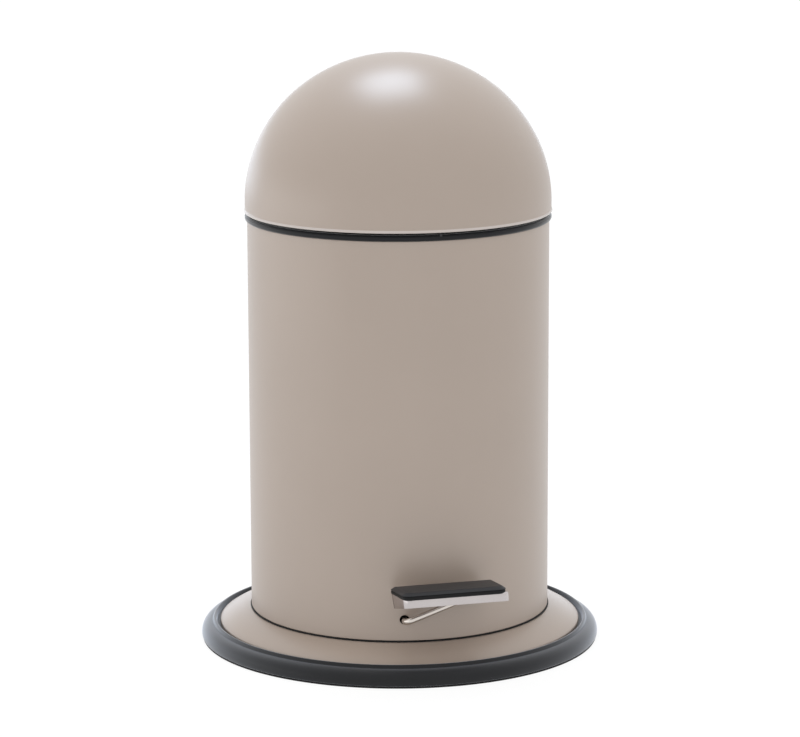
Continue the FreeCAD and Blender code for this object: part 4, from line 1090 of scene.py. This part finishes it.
def lid_nubs():
    """Three rubber nubs in the collar's edge, under the lid's rim."""
    outline = [(0.0, -NUB_ROOT), (NUB_RADIUS, -NUB_ROOT)]
    outline += arc((NUB_RADIUS - NUB_EDGE, NUB_RISE - NUB_EDGE), NUB_EDGE, 0, 90, 6)
    outline.append((0.0, NUB_RISE))
    model = turned("nub_model", outline, TREAD_RUBBER, closed=False, steps=32)
    spots = [(NUB_CIRCLE * math.sin(turn), -NUB_CIRCLE * math.cos(turn), COLLAR_TOP)
             for turn in map(math.radians, NUB_TURNS)]
    nubs = fasteners("lid_nubs", model, spots, [(0, 0, 1)] * len(spots))
    place_piece(nubs, "housing", "pad_rubber", "lid_buffers")


def dress_solids():
    """Finishes for the solids that show as they are."""
    finishes = {
        BLACK_PLASTIC: ("base_insert", "rod_shoe", "rod_cap"),
        ZINC_STEEL: ("front_shaft_clip", "rear_shaft_clip", "hinge_pin", "rod_guide",
                     "pedal_saddle", "lid_hinge_bracket", "lid_rivets"),
        BRIGHT_WIRE: ("lift_rod",),
    }
    for finish, names in finishes.items():
        for name in names:
            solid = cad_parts[name]
            solid.data.materials.clear()
            solid.data.materials.append(finish)


FINE_GRAIN = fine_grain_group()
DRAWN_LINES = drawn_lines_group()
TURNED = turned_tree()
WIRE = wire_tree()
FASTENERS = fastener_tree()

SATIN_PAINT = new_finish(
    "satin_paint", dark=(0.356, 0.286, 0.236), light=(0.386, 0.311, 0.258), rough=(0.34, 0.40),
    grain_scale=900.0, cloud_scale=14.0, bump=(0.12, 0.03),
    # Painted highlight: a lighter band of paint along the lid's rolled bead.
    rim=(LID_BEAD_Z, LID_BEAD, (0.52, 0.465, 0.43)),
    Specular_IOR_Level=0.8, Coat_Weight=0.3, Coat_Roughness=0.36)
RING_RUBBER = new_finish(
    "ring_rubber", dark=(0.005, 0.0052, 0.006), light=(0.009, 0.0093, 0.0105), rough=(0.36, 0.46),
    grain_scale=1400.0, cloud_scale=30.0, bump=(0.25, 0.04), Specular_IOR_Level=0.22,
    Sheen_Weight=1.0, Sheen_Roughness=0.42, Sheen_Tint=(0.88, 0.92, 1.0, 1.0))
TREAD_RUBBER = new_finish(
    "tread_rubber", dark=(0.020, 0.021, 0.024), light=(0.027, 0.028, 0.032), rough=(0.42, 0.52),
    grain_scale=1600.0, cloud_scale=40.0, bump=(0.3, 0.04), Specular_IOR_Level=0.35)
COLLAR_PLASTIC = new_finish(
    "collar_plastic", dark=(0.004, 0.0043, 0.006), light=(0.007, 0.0074, 0.0095),
    rough=(0.32, 0.42), grain_scale=1800.0, cloud_scale=40.0, bump=(0.2, 0.02),
    Specular_IOR_Level=0.24, Sheen_Weight=0.5, Sheen_Roughness=0.3)
BLACK_PLASTIC = new_finish(
    "black_plastic", dark=(0.005, 0.005, 0.0055), light=(0.009, 0.009, 0.0095), rough=(0.5, 0.62),
    grain_scale=1500.0, cloud_scale=40.0, bump=(0.3, 0.03), Specular_IOR_Level=0.2)
BUCKET_PLASTIC = new_finish(
    "bucket_plastic", dark=(0.016, 0.016, 0.018), light=(0.024, 0.024, 0.027), rough=(0.42, 0.55),
    grain_scale=1200.0, cloud_scale=25.0, bump=(0.3, 0.04))
ZINC_STEEL = new_finish(
    "zinc_steel", dark=(0.50, 0.50, 0.49), light=(0.66, 0.66, 0.65), rough=(0.28, 0.42),
    grain_scale=700.0, cloud_scale=120.0, bump=(0.15, 0.02), Metallic=1.0)
BRIGHT_WIRE = new_finish(
    "bright_wire", dark=(0.60, 0.555, 0.51), light=(0.70, 0.65, 0.60), rough=(0.16, 0.26),
    grain_scale=900.0, cloud_scale=60.0, bump=(0.12, 0.01),
    lines=(90.0, 90.0, 2400.0), Metallic=1.0)
POLISHED_STEEL = new_finish(
    "polished_steel", dark=(0.50, 0.465, 0.46), light=(0.58, 0.54, 0.535), rough=(0.22, 0.27),
    grain_scale=900.0, cloud_scale=60.0, bump=(0.04, 0.01),
    lines=(60.0, 1800.0, 1800.0), Metallic=1.0)

studio_camera()
studio_world()
studio_floor()
softbox("top_softbox", spot=(0.05, 0.45, 1.50), target=(0.0, 0.0, 0.30),
        width=0.58, height=0.62, power=7.6, tint=COOL_WHITE)
softbox("left_panel", spot=(-1.3, 0.2, 0.15), target=(0.0, 0.0, 0.15),
        width=1.8, height=0.5, power=2.0)
softbox("back_panel", spot=(0.0, 2.5, 0.22), target=(0.0, 0.0, 0.2),
        width=3.4, height=0.6, power=8.0, tint=COOL_WHITE)

dome_lid()
body_tube()
foot_skirt()
rubber_ring()
ring_sole()
pedal_wire()
pedal_tray()
pedal_tread()
foot_gasket()
rim_collar()
bucket_pail()
bucket_bail()
base_screws()
clip_screws()
lid_nubs()
dress_solids()

bpy.context.scene.view_settings.view_transform = "Standard"
